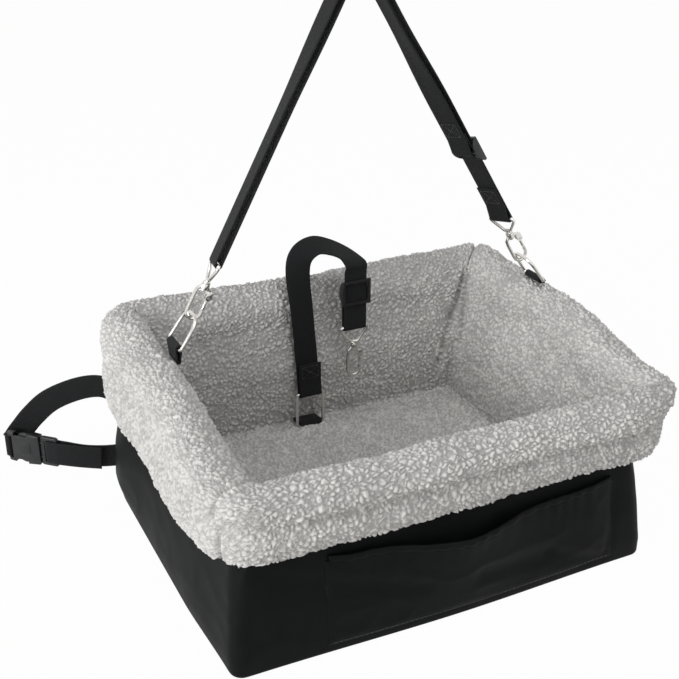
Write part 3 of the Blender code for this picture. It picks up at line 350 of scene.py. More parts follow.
def fleece_front_profile():
    """(u, z) of the fleece's visible face: up the wall, over the roll and down the cuff."""
    centre_z = RIM_HEIGHT - ROLL_RADIUS
    wall = [(WALL_FACE, z) for z in (FLOOR_LOW + FLEECE_THICKNESS, WAIST_HEIGHT, centre_z - WALL_END)]
    roll = arc((0.0, centre_z), ROLL_RADIUS, 180.0, 0.0, 10)
    cuff = [(0.0018, CUFF_GROOVE), (0.0003, CUFF_GROOVE - 0.015), (0.0008, CUFF_GROOVE - 0.028)]
    hem = [(0.0013, CUFF_HEM + 0.002), (0.0035, CUFF_HEM)]
    return spaced(wall + roll + [(ROLL_RADIUS - drawn_in, z) for drawn_in, z in cuff + hem], FLEECE_STEP)


def fleece_back_profile():
    """(u, z) of the hidden face, from the cuff's hem back to the floor."""
    centre_z = RIM_HEIGHT - ROLL_RADIUS
    face = ROLL_RADIUS - FLEECE_THICKNESS
    hem = [(face, CUFF_HEM), (face - 0.0008, CUFF_HEM + 0.010), (face - 0.0018, CUFF_GROOVE)]
    roll = arc((0.0, centre_z), face, 0.0, 180.0, 6)
    wall = WALL_FACE + FLEECE_THICKNESS
    return hem + roll + [(wall, z) for z in (centre_z - WALL_END, WAIST_HEIGHT, FLOOR_LOW)]


def floor_patch(loop, across, deep, turn):
    """A grid of points inside a rounded rectangle, and the loop's point numbers along the grid's edges."""
    half = turn // 2
    count = len(loop)
    wide, tall = across + turn, deep + turn
    front = [(i - half) % count for i in range(wide + 1)]
    right = [(front[-1] + i) % count for i in range(tall + 1)]
    back = [(right[-1] + i) % count for i in range(wide + 1)][::-1]
    left = [(back[0] + i) % count for i in range(tall + 1)][::-1]
    inside = {}
    for j in range(1, tall):
        for i in range(1, wide):
            s, t = i / wide, j / tall
            edges = loop[front[i]] * (1 - t) + loop[back[i]] * t
            edges = edges + loop[left[j]] * (1 - s) + loop[right[j]] * s
            low = loop[front[0]] * (1 - s) + loop[front[-1]] * s
            high = loop[back[0]] * (1 - s) + loop[back[-1]] * s
            inside[i, j] = edges - low * (1 - t) - high * t
    return inside, (front, right, back, left), (wide, tall)


def closed_floor(points, loop_start, across, deep, turn, upward):
    """Adds a floor inside the loop of points that starts at loop_start, and gives its faces."""
    count = 2 * (across + deep) + 4 * turn
    loop = [Vector(p) for p in points[loop_start : loop_start + count]]
    inside, (front, right, back, left), (wide, tall) = floor_patch(loop, across, deep, turn)
    number = {key: len(points) + k for k, key in enumerate(inside)}
    points += list(inside.values())
    for i in range(wide + 1):
        number[i, 0], number[i, tall] = loop_start + front[i], loop_start + back[i]
    for j in range(tall + 1):
        number[0, j], number[wide, j] = loop_start + left[j], loop_start + right[j]
    faces = []
    for j in range(tall):
        for i in range(wide):
            quad = (number[i, j], number[i + 1, j], number[i + 1, j + 1], number[i, j + 1])
            faces.append(quad if upward else quad[::-1])
    return faces


def bulged(point, u):
    """The cuff's back left corner sags outward."""
    share = float(blend(u, -0.004, 0.012) * bump((point - BULGE_PLACE).length, BULGE_REACH))
    return point + BULGE_OUT * share


def hanging(point, u):
    """The skirt hangs low, most on the left, the rim dips toward the front and the right side sags out."""
    x, y, z = point
    left = float(blend(-x, 0.12, 0.20) * blend(y, -0.165, -0.05) * (1.0 - 0.75 * blend(y, 0.07, 0.17)))
    skirt = float(blend(u, 0.002, 0.010) * (1.0 - blend(z, CUFF_HEM, CUFF_GROOVE + 0.004)))
    drop = (SKIRT_DROP + SKIRT_DROP_LEFT * left) * (1.0 - 0.6 * float(blend(y, 0.15, 0.18)))
    level = float(blend(z, CUFF_GROOVE, RIM_HEIGHT))
    rise = (RIM_DIP * float(blend(y, 0.02, 0.15)) - RIM_DIP * float(blend(-y, 0.02, 0.15))) * level
    inner = float(blend(-u, -0.004, 0.012) * blend(z, 0.125, 0.150))
    pressed = WALL_PRESSED * inner * float(blend(-x, 0.10, 0.16) * blend(-y, -0.04, 0.10))
    right = RIGHT_SAG * float(blend(x, 0.14, 0.19) * blend(z, 0.110, 0.150) * bump(y - 0.015, 0.140))
    across = pressed - SKIRT_OUT_LEFT * left * skirt + right
    return point + Vector((across, 0.0, rise - drop * skirt + 0.35 * right))


def fleece_cloth():
    """The fleece as one closed, coarse cloth: points, faces, ends of its visible parts, columns."""
    front, back = fleece_front_profile(), fleece_back_profile()
    columns = 2 * (ACROSS + DEEP) + 4 * TURN
    points = [hanging(bulged(p, u), u) for u, z in front for p in outline(z, u, ACROSS, DEEP, TURN)]
    visible = len(points)
    faces = [face[::-1] for face in grid_faces(len(front), columns, closed=True)]
    faces += closed_floor(points, 0, ACROSS, DEEP, TURN, upward=True)
    floor_end = len(points)
    for u, z in back:
        points += [hanging(bulged(p, u + FLEECE_THICKNESS), u) for p in outline(z, u, ACROSS, DEEP, TURN)]
    faces += [face[::-1] for face in grid_faces(len(back), columns, closed=True, start=floor_end)]
    last = floor_end + (len(back) - 1) * columns
    hem = visible - columns
    for i in range(columns):
        j = (i + 1) % columns
        faces.append((hem + i, floor_end + i, floor_end + j, hem + j))
    faces += closed_floor(points, last, ACROSS, DEEP, TURN, upward=False)
    return points, faces, visible, floor_end, columns


def profile_lengths(profile):
    made = [0.0]
    for a, b in zip(profile, profile[1:]):
        made.append(made[-1] + math.hypot(b[0] - a[0], b[1] - a[1]))
    return made


def puffed(points, faces, held):
    """The points after the closed cloth is blown up a little, each moved no more than the limit."""
    mesh = mesh_from("puffing", points, faces)
    holder = bpy.data.objects.new("puffing", mesh)
    bpy.context.scene.collection.objects.link(holder)
    group = holder.vertex_groups.new(name="held")
    group.add([int(i) for i in held], 1.0, "ADD")
    modifier = holder.modifiers.new("cloth", "CLOTH")
    cloth = modifier.settings
    cloth.vertex_group_mass = "held"
    cloth.effector_weights.gravity = 0.0
    cloth.use_pressure = True
    cloth.uniform_pressure_force = PUFF_PRESSURE
    cloth.tension_stiffness = 8.0
    cloth.compression_stiffness = 8.0
    cloth.shear_stiffness = 4.0
    cloth.bending_stiffness = 0.4
    modifier.point_cache.frame_start = 1
    modifier.point_cache.frame_end = PUFF_FRAMES
    scene = bpy.context.scene
    for step in range(1, PUFF_FRAMES + 1):
        scene.frame_set(step)
    graph = bpy.context.evaluated_depsgraph_get()
    moved = coordinates(holder.evaluated_get(graph).data) - coordinates(mesh)
    start = coordinates(mesh)
    bpy.data.objects.remove(holder)
    scene.frame_set(1)
    length = np.linalg.norm(moved, axis=1, keepdims=True)
    return start + moved * np.minimum(1.0, PUFF_LIMIT / np.maximum(length, 1e-9))


def fleece_marks(columns, front_rows, cap_points):
    """For each coarse visible point, its distance along the rim from a corner seam and its profile length."""
    lengths = profile_lengths(fleece_front_profile())
    loop = outline(RIM_HEIGHT, 0.0, ACROSS, DEEP, TURN)
    along = [0.0]
    for a, b in zip(loop, loop[1:]):
        along.append(along[-1] + (b - a).length)
    total = along[-1] + (loop[0] - loop[-1]).length
    marks = [along[m] for m in outline_marks(ACROSS, DEEP, TURN)[:3]] + [along[-TURN // 2 - 1]]
    seam = [min(min(abs(a - m), total - abs(a - m)) for m in marks) for a in along]
    seams = np.array(seam * front_rows + [1.0] * cap_points)
    runs = np.array([lengths[row] for row in range(front_rows) for _ in range(columns)] + [0.0] * cap_points)
    return seams, runs


def with_back(front, back_points, back_faces, columns):
    """Closes the fine visible cloth with the coarse hidden one, whose first row is the cuff's hem."""
    bm = bmesh.new()
    bm.from_mesh(front)
    rim = [edge for edge in bm.edges if edge.is_boundary]
    base = [bm.verts.new(p) for p in back_points]
    for face in back_faces:
        bm.faces.new([base[i] for i in face])
    hem = [bm.edges.get((base[i], base[(i + 1) % columns])) for i in range(columns)]
    bmesh.ops.bridge_loops(bm, edges=rim + hem)
    bmesh.ops.recalc_face_normals(bm, faces=bm.faces)
    made = bpy.data.meshes.new(front.name)
    bm.to_mesh(made)
    bm.free()
    return made


def fleece_mesh(curl, pile, quick):
    """Puffed between its seams, sewn in at the corners and along the roll, and covered in curls."""
    points, faces, visible, floor_end, columns = fleece_cloth()
    rows = visible // columns
    seams, runs = fleece_marks(columns, rows, floor_end - visible)
    roll_start = profile_lengths(fleece_front_profile())[-1] - CUFF_RUN
    sewn = np.nonzero((seams < 0.002) & (runs > roll_start))[0]
    foot = np.arange(columns)
    hem, back = np.arange(visible - columns, visible), np.arange(floor_end, len(points))
    held = np.concatenate([sewn, foot, hem, back])
    if not quick:
        points = [Vector(p) for p in puffed(points, faces, held)]
    front_faces = [face for face in faces if max(face) < floor_end]
    back_faces = [tuple(i - floor_end for i in face) for face in faces if min(face) >= floor_end]
    coarse = mesh_from("fleece", points[:floor_end], front_faces)
    add_values(coarse, "seam", seams)
    add_values(coarse, "run", runs)
    fine = subdivided(coarse, FLEECE_LEVELS)
    spots, outward = coordinates(fine), normals(fine)
    seam = np.array([v.value for v in fine.attributes["seam"].data])
    run = np.array([v.value for v in fine.attributes["run"].data])
    spots = sewn_and_curled(spots, outward, seam, run, curl, pile, fine)
    set_coordinates(fine, spots)
    return with_back(fine, points[floor_end:], back_faces, columns)


def sewn_and_curled(spots, outward, seam, run, curl, pile, mesh):
    """Moves the fleece's visible points: seam grooves, soft hollows and curls."""
    total = profile_lengths(fleece_front_profile())[-1]
    cuff_share = blend(run, total - 0.120, total - 0.100)
    front = blend(-spots[:, 1], 0.10, 0.15)
    depth = (SEAM_HOLLOW * bump(seam, 0.0050) + SEAM_PINCH * bump(seam, 0.0018)) * cuff_share
    # The roll hangs over the skirt: a step in under it, then an ease back out to the hem
    below = run - (total - (CUFF_GROOVE - CUFF_HEM)) + 0.0030 * waves(spots, 0.045, 17)
    groove = np.where(below < 0.0, bump(below, 0.0035), bump(below, 0.022))
    overhang = 0.25 * bump(below + 0.010, 0.011)
    rolled = (0.25 + 0.75 * front) * (1.0 - 0.65 * blend(spots[:, 0], 0.165, 0.212))
    depth += STEP_DEPTH * (groove - overhang) * rolled * (0.9 + 0.3 * waves(spots, 0.060, 14))
    # Inside, each corner's cloth bunches between two creases that part downward
    top = total - CUFF_RUN
    parted = CREASE_PLACE + CREASE_SPREAD * np.clip(1.0 - run / top, 0.0, 1.0)
    wall = blend(run, 0.010, 0.035) * (1.0 - blend(run, top - 0.012, top + 0.012))
    depth += CREASE_DEPTH * wall * bump(seam - parted, 0.0090)
    soft = SOFT_HOLLOW * waves(spots, 0.050, 3) * (0.4 + 0.6 * cuff_share)
    strayed = np.stack([waves(spots, curl * 1.3, seed) for seed in (31, 32, 33)], axis=1) * curl * 0.55
    nearest, second = cells(spots + strayed, curl, 5)
    knot = blend(second - nearest, 0.0, 0.45)
    height = knot * (0.75 + 0.45 * waves(spots, 0.011, 8)) + 0.25 * waves(spots, curl * 0.5, 21)
    height = np.clip(height, 0.0, 1.0)
    height *= 1.0 - 0.9 * bump(seam, 0.0013) * cuff_share
    # The height is kept for the material, which paints shade into the hollows between curls and into the
    # flattened seams
    add_values(mesh, "curl", height)
    return spots + outward * (soft - depth + pile * (height - 0.6))[:, None]


# Materials


def linear(colour):
    """The linear colour of an sRGB hex value."""
    parts = [int(colour[i : i + 2], 16) / 255.0 for i in (1, 3, 5)]
    made = [c / 12.92 if c <= 0.04045 else ((c + 0.055) / 1.055) ** 2.4 for c in parts]
    return (*made, 1.0)


def add_node(tree, kind, sockets=None, **settings):
    """Adds a node; each of its sockets gets a value or a link from another node's output."""
    made = tree.nodes.new(kind)
    for key, value in settings.items():
        setattr(made, key, value)
    for key, value in (sockets or {}).items():
        if isinstance(value, bpy.types.NodeSocket):
            tree.links.new(value, made.inputs[key])
        else:
            made.inputs[key].default_value = value
    return made


def new_material(name):
    """An empty material and its tree."""
    made = bpy.data.materials.new(name)
    made.use_nodes = True
    made.node_tree.nodes.clear()
    return made, made.node_tree


def finished(made, shader):
    """The material, ended in a shader."""
    add_node(made.node_tree, "ShaderNodeOutputMaterial", {"Surface": shader.outputs[0]})
    return made


def tinted(tree, pattern, low, high, dark, light):
    """A colour that goes from dark to light as a pattern goes from low to high."""
    sockets = {"Value": pattern, "From Min": low, "From Max": high}
    share = add_node(tree, "ShaderNodeMapRange", sockets).outputs["Result"]
    return add_node(tree, "ShaderNodeMix", {0: share, 6: dark, 7: light}, data_type="RGBA").outputs[2]


def sherpa_fleece(light, dark):
    """Polyester sherpa, knitted and tumbled into curls: pale tips, painted shade in the hollows between them
    and a soft halo of fibre.
    """
    made, tree = new_material("polyester_sherpa_tumbled")
    place = add_node(tree, "ShaderNodeTexCoord").outputs["Object"]
    curl = add_node(tree, "ShaderNodeAttribute", attribute_name="curl").outputs["Fac"]
    # A fibre is 0.02 mm thick; the tufts that fibres make are drawn 1.3 mm wide so that they show
    tuft = add_node(tree, "ShaderNodeTexNoise", {"Vector": place, "Scale": 760.0, "Detail": 3.0}).outputs[0]
    cloud = add_node(tree, "ShaderNodeTexNoise", {"Vector": place, "Scale": 28.0, "Detail": 2.0}).outputs[0]
    height = add_node(tree, "ShaderNodeMath", {0: curl, 1: tuft}, operation="ADD").outputs[0]
    # Where the curls' height and the tufts are low the colour goes dark: painted shade in the hollows between
    # curls and along the seams
    tips = tinted(tree, height, 0.38, 1.10, dark, light)
    shade = tinted(tree, cloud, 0.3, 0.75, linear("#ffffff"), linear("#eeeeee"))
    both = {0: 1.0, 6: tips, 7: shade}
    colour = add_node(tree, "ShaderNodeMix", both, data_type="RGBA", blend_type="MULTIPLY").outputs[2]
    bumped = add_node(tree, "ShaderNodeBump", {"Height": tuft, "Strength": 0.8, "Distance": 0.0010})
    shader = add_node(tree, "ShaderNodeBsdfPrincipled", {
        "Base Color": colour, "Roughness": 0.95, "Normal": bumped.outputs[0], "Sheen Weight": 0.2,
        "Sheen Roughness": 0.6, "IOR": 1.45, "Specular IOR Level": 0.2,
    })
    return finished(made, shader)


def oxford_nylon(colour, worn):
    """Nylon oxford, woven and proofed: a fine basket weave, a dull sheen and paler rubbed folds."""
    made, tree = new_material("nylon_oxford_woven")
    place = add_node(tree, "ShaderNodeTexCoord").outputs["Object"]
    split = add_node(tree, "ShaderNodeSeparateXYZ", {"Vector": place}).outputs
    level = add_node(tree, "ShaderNodeMath", {0: split["X"], 1: split["Y"]}, operation="ADD").outputs[0]
    # Threads are 0.5 mm apart; the weave is drawn at 1.1 mm so that it shows
    turns = 2 * math.pi / 0.0011
    threads = []
    for along in (level, split["Z"]):
        turned = add_node(tree, "ShaderNodeMath", {0: along, 1: turns}, operation="MULTIPLY").outputs[0]
        threads.append(add_node(tree, "ShaderNodeMath", {0: turned}, operation="SINE").outputs[0])
    weave = add_node(tree, "ShaderNodeMath", dict(enumerate(threads)), operation="MULTIPLY").outputs[0]
    rubbed = add_node(tree, "ShaderNodeTexNoise", {"Vector": place, "Scale": 45.0, "Detail": 5.0}).outputs[0]
    dull = {"Value": rubbed, "To Min": 0.50, "To Max": 0.66}
    rough = add_node(tree, "ShaderNodeMapRange", dull).outputs["Result"]
    bumped = add_node(tree, "ShaderNodeBump", {"Height": weave, "Strength": 0.12, "Distance": 0.0004})
    shader = add_node(tree, "ShaderNodeBsdfPrincipled", {
        "Base Color": tinted(tree, rubbed, 0.42, 0.78, colour, worn), "Roughness": rough,
        "Normal": bumped.outputs[0], "Sheen Weight": 0.01, "Sheen Roughness": 0.4, "IOR": 1.53,
        "Specular IOR Level": 0.08,
    })
    return finished(made, shader)


def polyester_webbing(colour, worn):
    """Polyester webbing, woven in lengthwise ribs: matt black, with a painted highlight on the raised ribs and
    greyer, rubbed edges.
    """
    made, tree = new_material("polyester_webbing_woven")
    place = add_node(tree, "ShaderNodeTexCoord").outputs["Object"]
    spot = add_node(tree, "ShaderNodeAttribute", attribute_name="web").outputs["Vector"]
    split = add_node(tree, "ShaderNodeSeparateXYZ", {"Vector": spot}).outputs
    across, along = split["X"], split["Y"]
    # 25 mm webbing has about 15 ribs, and its filling thread returns every 1.4 mm
    ribs, picks = 2 * math.pi / 0.00165, 2 * math.pi / 0.0014
    rib = add_node(tree, "ShaderNodeMath", {0: across, 1: ribs}, operation="MULTIPLY").outputs[0]
    rib = add_node(tree, "ShaderNodeMath", {0: rib}, operation="SINE").outputs[0]
    pick = add_node(tree, "ShaderNodeMath", {0: along, 1: picks}, operation="MULTIPLY").outputs[0]
    offset = add_node(tree, "ShaderNodeMath", {0: rib, 1: 1.2}, operation="MULTIPLY").outputs[0]
    pick = add_node(tree, "ShaderNodeMath", {0: pick, 1: offset}, operation="ADD").outputs[0]
    pick = add_node(tree, "ShaderNodeMath", {0: pick}, operation="SINE").outputs[0]
    height = add_node(tree, "ShaderNodeMath", {0: rib, 1: pick}, operation="ADD").outputs[0]
    edge = add_node(tree, "ShaderNodeMath", {0: across}, operation="ABSOLUTE").outputs[0]
    rubbed = add_node(tree, "ShaderNodeTexNoise", {"Vector": place, "Scale": 160.0, "Detail": 4.0}).outputs[0]
    near_edge = {"Value": edge, "From Min": 0.0095, "From Max": 0.0135}
    grey = add_node(tree, "ShaderNodeMapRange", near_edge).outputs["Result"]
    grey = add_node(tree, "ShaderNodeMath", {0: grey, 1: rubbed}, operation="MULTIPLY").outputs[0]
    # Raised ribs and picks go paler with their height: a painted highlight on the crests; the greyer edges are
    # rubbed wear
    raised = {"Value": height, "From Min": -2.0, "From Max": 4.5}
    shade = add_node(tree, "ShaderNodeMapRange", raised).outputs["Result"]
    shade = add_node(tree, "ShaderNodeMath", {0: shade, 1: grey}, operation="ADD").outputs[0]
    base = add_node(tree, "ShaderNodeMix", {0: shade, 6: colour, 7: worn}, data_type="RGBA").outputs[2]
    bumped = add_node(tree, "ShaderNodeBump", {"Height": height, "Strength": 0.5, "Distance": 0.00025})
    shader = add_node(tree, "ShaderNodeBsdfPrincipled", {
        "Base Color": base, "Roughness": 0.72, "Normal": bumped.outputs[0], "Sheen Weight": 0.04,
        "Sheen Roughness": 0.5, "IOR": 1.5, "Specular IOR Level": 0.18,
    })
    return finished(made, shader)


def nickel_plate(colour):
    """Zinc alloy, die cast and nickel plated: bright and warm, with a faint ripple and handling marks."""
    made, tree = new_material("nickel_plate_on_die_cast_zinc")
    place = add_node(tree, "ShaderNodeTexCoord").outputs["Object"]
    ripple = add_node(tree, "ShaderNodeTexNoise", {"Vector": place, "Scale": 260.0, "Detail": 2.0}).outputs[0]
    marks = add_node(tree, "ShaderNodeTexNoise", {"Vector": place, "Scale": 1400.0, "Detail": 4.0}).outputs[0]
    rubbed = {"Value": marks, "To Min": 0.10, "To Max": 0.26}
    rough = add_node(tree, "ShaderNodeMapRange", rubbed).outputs["Result"]
    bumped = add_node(tree, "ShaderNodeBump", {"Height": ripple, "Strength": 0.12, "Distance": 0.0004})
    shader = add_node(tree, "ShaderNodeBsdfPrincipled", {
        "Base Color": tinted(tree, marks, 0.45, 0.8, colour, linear("#a9a59d")), "Metallic": 1.0,
        "Roughness": rough, "Normal": bumped.outputs[0],
    })
    return finished(made, shader)


def moulded_acetal(colour, worn):
    """Acetal, injection moulded: black and waxy, with a spark-eroded grain and duller corners."""
    made, tree = new_material("acetal_moulded")
    place = add_node(tree, "ShaderNodeTexCoord").outputs["Object"]
    # The mould's grain is about 0.2 mm; it is drawn at 0.6 mm so that it shows
    grain = add_node(tree, "ShaderNodeTexNoise", {"Vector": place, "Scale": 1700.0, "Detail": 2.0}).outputs[0]
    rubbed = add_node(tree, "ShaderNodeTexNoise", {"Vector": place, "Scale": 120.0, "Detail": 4.0}).outputs[0]
    dull = {"Value": rubbed, "To Min": 0.30, "To Max": 0.46}
    rough = add_node(tree, "ShaderNodeMapRange", dull).outputs["Result"]
    bumped = add_node(tree, "ShaderNodeBump", {"Height": grain, "Strength": 0.18, "Distance": 0.0002})
    shader = add_node(tree, "ShaderNodeBsdfPrincipled", {
        "Base Color": tinted(tree, rubbed, 0.5, 0.8, colour, worn), "Roughness": rough,
        "Normal": bumped.outputs[0], "IOR": 1.48,
    })
    return finished(made, shader)


def cut_foam():
    """Polyurethane foam, cut from a block: off-white, with painted shade in its open cells."""
    made, tree = new_material("polyurethane_foam_cut")
    place = add_node(tree, "ShaderNodeTexCoord").outputs["Object"]
    pores = add_node(tree, "ShaderNodeTexVoronoi", {"Vector": place, "Scale": 700.0}).outputs["Distance"]
    # The colour darkens toward each cell's middle, where the bump sinks: painted shade in the pores
    base = tinted(tree, pores, 0.0, 0.7, linear("#b9b3a4"), linear("#e8e4d8"))
    bumped = add_node(tree, "ShaderNodeBump", {"Height": pores, "Strength": 0.6, "Distance": 0.0005})
    sockets = {"Base Color": base, "Roughness": 0.95, "Normal": bumped.outputs[0]}
    return finished(made, add_node(tree, "ShaderNodeBsdfPrincipled", sockets))


def extruded_board():
    """Polypropylene board, extruded: grey, smooth and slightly waxy."""
    made, tree = new_material("polypropylene_board_extruded")
    place = add_node(tree, "ShaderNodeTexCoord").outputs["Object"]
    streaks = add_node(tree, "ShaderNodeTexNoise", {"Vector": place, "Scale": 90.0, "Detail": 3.0}).outputs[0]
    greys = {0: streaks, 6: linear("#8f8d88"), 7: linear("#a5a29c")}
    base = add_node(tree, "ShaderNodeMix", greys, data_type="RGBA").outputs[2]
    sockets = {"Base Color": base, "Roughness": 0.5, "IOR": 1.49}
    return finished(made, add_node(tree, "ShaderNodeBsdfPrincipled", sockets))


def sewing_thread(colour):
    """Polyester thread, spun and twisted: a soft shine along a ropy twist."""
    made, tree = new_material("polyester_thread_twisted")
    place = add_node(tree, "ShaderNodeTexCoord").outputs["Object"]
    twist = add_node(tree, "ShaderNodeTexNoise", {"Vector": place, "Scale": 2500.0}).outputs[0]
    blacks = {0: twist, 6: colour, 7: linear("#26272a")}
    base = add_node(tree, "ShaderNodeMix", blacks, data_type="RGBA").outputs[2]
    sockets = {"Base Color": base, "Roughness": 0.55, "Sheen Weight": 0.3}
    return finished(made, add_node(tree, "ShaderNodeBsdfPrincipled", sockets))


# Nylon shell and pocket

SHELL_BULGE = Vector((-0.196, 0.160, 0.085))
SHELL_BULGE_REACH = 0.130
SHELL_BULGE_OUT = 0.0085
SHELL_WRINKLE = 0.0026
# How far the pad inside presses the shell's foot out
FOOT_FRONT = 0.0070
FOOT_FRONT_MIDDLE = 0.0040
FOOT_LEFT = 0.0085
FOOT_RIGHT = 0.0015
# Long folds on the front: start and end (x, z), half width, depth; they run over the shell and the pocket
FRONT_FOLDS = [
    ((-0.176, 0.088), (-0.124, 0.067), 0.010, 0.0016),
    ((-0.124, 0.067), (-0.036, 0.044), 0.012, 0.0022),
    ((0.020, 0.040), (0.091, 0.034), 0.014, 0.0022),
    ((0.091, 0.034), (0.158, 0.007), 0.012, 0.0020),
    ((0.164, 0.078), (0.157, 0.018), 0.009, 0.0018),
]


def front_folds(x, z):
    """How far the long folds draw the front's cloth in."""
    drawn = 0.0
    for start, end, width, depth in FRONT_FOLDS:
        run_x, run_z = end[0] - start[0], end[1] - start[1]
        share = np.clip(((x - start[0]) * run_x + (z - start[1]) * run_z) / (run_x**2 + run_z**2), 0.0, 1.0)
        away = np.hypot(x - start[0] - share * run_x, z - start[1] - share * run_z)
        drawn = drawn + depth * bump(away, width)
    return drawn


def wrinkles(points, seed):
    """Long soft creases, from 0 to 1, for cloth pulled over a box."""
    slow = waves(points, 0.070, seed)
    turned = [(p[0] * 0.75 + p[1] * 0.66, p[2] * 1.9, p[1] * 0.75 - p[0] * 0.66) for p in points]
    crease = 1.0 - np.abs(waves(turned, 0.050, seed + 1))
    return np.clip(0.40 + 0.45 * slow + 0.35 * crease**4, 0.0, 1.2) / 1.2


def shell_out(points):
    """How far the shell's cloth stands off the box: creases, the front's folds and a sagging back corner."""
    front = blend(-points[:, 1], 0.12, 0.15)
    back_left = np.array([bump((Vector(p) - SHELL_BULGE).length, SHELL_BULGE_REACH) for p in points])
    folds = front_folds(points[:, 0], points[:, 2]) * front
    return SHELL_WRINKLE * wrinkles(points, 11) - folds + SHELL_BULGE_OUT * back_left


def footed(points):
    """The cloth's points with the foot of the front, the left and the right pressed out by the pad inside."""
    x, y, z = np.asarray(points).T
    low = 1.0 - blend(z, 0.030, 0.150)
    front = (FOOT_FRONT + FOOT_FRONT_MIDDLE * bump(x, 0.19)) * blend(-y, 0.08, 0.155)
    left = FOOT_LEFT * blend(-x, 0.11, 0.19) * (1.0 - 0.45 * blend(-y, 0.06, 0.16))
    right = FOOT_RIGHT * blend(x, 0.11, 0.19)
    kept = 1.0 - 0.6 * blend(y, 0.12, 0.166)
    return np.stack([x + (right - left) * low * kept, y - front * low, z], axis=1)


def shell_mesh():
    """The nylon box: flat base, rounded lower edge, wrinkled walls with a seam at each corner."""
    across, deep, turn = 72, 60, 6
    columns = 2 * (across + deep) + 4 * turn
    edge = arc((-FOOT_RADIUS, FOOT_RADIUS), FOOT_RADIUS, -90.0, 0.0, 4)
    wall = spaced([(0.0, FOOT_RADIUS), (0.0, SHELL_TOP)], 0.0055)[1:]
    profile = edge + wall
    points = [p for u, z in profile for p in outline(z, u, across, deep, turn)]
    faces = grid_faces(len(profile), columns, closed=True)
    faces += closed_floor(points, 0, across, deep, turn, upward=False)
    base = mesh_from("shell", points, faces)
    spots, outward = coordinates(base), normals(base)
    loop = outline(WAIST_HEIGHT, 0.0, across, deep, turn)
    marks = [Vector(loop[m]) for m in outline_marks(across, deep, turn)]
    seam = np.array([min(math.hypot(p[0] - m.x, p[1] - m.y) for m in marks) for p in spots])
    height = spots[:, 2]
    raised = blend(height, 0.004, 0.016) * (1.0 - blend(height, SHELL_TOP - 0.045, SHELL_TOP - 0.035))
    proud = shell_out(spots) * raised
    ridge = (0.0010 * bump(seam, 0.0065) - 0.0030 * bump(seam, 0.0028)) * raised
    set_coordinates(base, footed(spots + outward * (proud + ridge)[:, None]))
    finer = {"levels": 1, "render_levels": 1}
    return applied(base, ("SUBSURF", finer), ("SOLIDIFY", {"thickness": SHELL_THICKNESS, "offset": -1.0}))


def pocket_face(x_share, z_share):
    """A point of the pocket's panel: it lies on the shell, and stands off where its mouth gapes."""
    x = POCKET_LEFT + (POCKET_RIGHT - POCKET_LEFT) * x_share
    z = POCKET_BOTTOM + (POCKET_TOP - POCKET_BOTTOM) * z_share
    gape = float(bump(x, GAPE_HALF))
    z += (0.004 * (1.0 - math.sin(math.pi * x_share)) - 0.004 * gape) * z_share
    flat = leaning(x, -half_sizes(z, 0.0)[1], z)
    proud = float(shell_out(np.array([flat]))[0]) * float(blend(z, 0.004, 0.016))
    loose = float(blend(x_share, 0.0, 0.10) * blend(1.0 - x_share, 0.0, 0.10)) * z_share**0.9
    sewn = float(blend(min(x_share, 1.0 - x_share), 0.0, 0.018) * blend(z_share, 0.0, 0.05))
    out = proud - CLEAR + (POCKET_GAP + CLEAR) * sewn + POCKET_LOOSE * loose
    return x, z, out + POCKET_BULGE * 0.8 * gape * z_share**1.4


def ruffles(x):
    """Small uneven waves, from -1 to 1, that the elastic draws along the pocket's mouth."""
    return math.sin(x / 0.0024 + 2.0 * math.sin(x / 0.017))


def gathers(x, z):
    """How far the pocket's cloth stands out: small gathers under its elastic mouth, over slow hollows."""
    top = float(blend(z, 0.056, POCKET_TOP))
    pleat = ruffles(x) * 0.5 + math.sin(x / 0.0061 + 1.0) * 0.5
    return 0.0005 * pleat * top + 0.0012 * noise.noise(Vector((x / 0.070, z / 0.050, 4.0)))


def pocket_mesh():
    """The gathered panel, sewn down along its sides and its bottom."""
    columns, rows = 150, 34
    points = []
    for j in range(rows + 1):
        for i in range(columns + 1):
            s, t = i / columns, j / rows
            x, z, out = pocket_face(s, t)
            inward = float(blend(s, 0.0, 0.06) * blend(1.0 - s, 0.0, 0.06) * blend(t, 0.0, 0.12))
            points.append(leaning(x, -half_sizes(z, out + gathers(x, z) * inward)[1], z))
    base = mesh_from("pocket", footed(points), grid_faces(rows + 1, columns + 1))
    return applied(base, ("SOLIDIFY", {"thickness": POCKET_THICKNESS, "offset": 0.0}))


def pocket_hem_mesh():
    """The rolled hem over the elastic, ruffled along the pocket's mouth."""
    steps, ring = 260, 12
    points = []
    for i in range(steps + 1):
        s = 0.012 + 0.976 * i / steps
        x, z, out = pocket_face(s, 1.0)
        ruffle = 0.14 * ruffles(x)
        middle = out + gathers(x, z) * float(blend(s, 0.0, 0.06) * blend(1.0 - s, 0.0, 0.06))
        for k in range(ring):
            angle = 2 * math.pi * k / ring
            radius = HEM_RADIUS * (1.0 + ruffle * (0.4 + 0.6 * math.cos(angle)))
            height = z + 0.0020 + 2.0 * radius * math.sin(angle)
            points.append(leaning(x, -half_sizes(z, middle + radius * math.cos(angle))[1], height))
    return mesh_from("pocket_hem", footed(points), tube_faces(steps + 1, ring))


# Webbing: every strap is a list of (point, across direction)


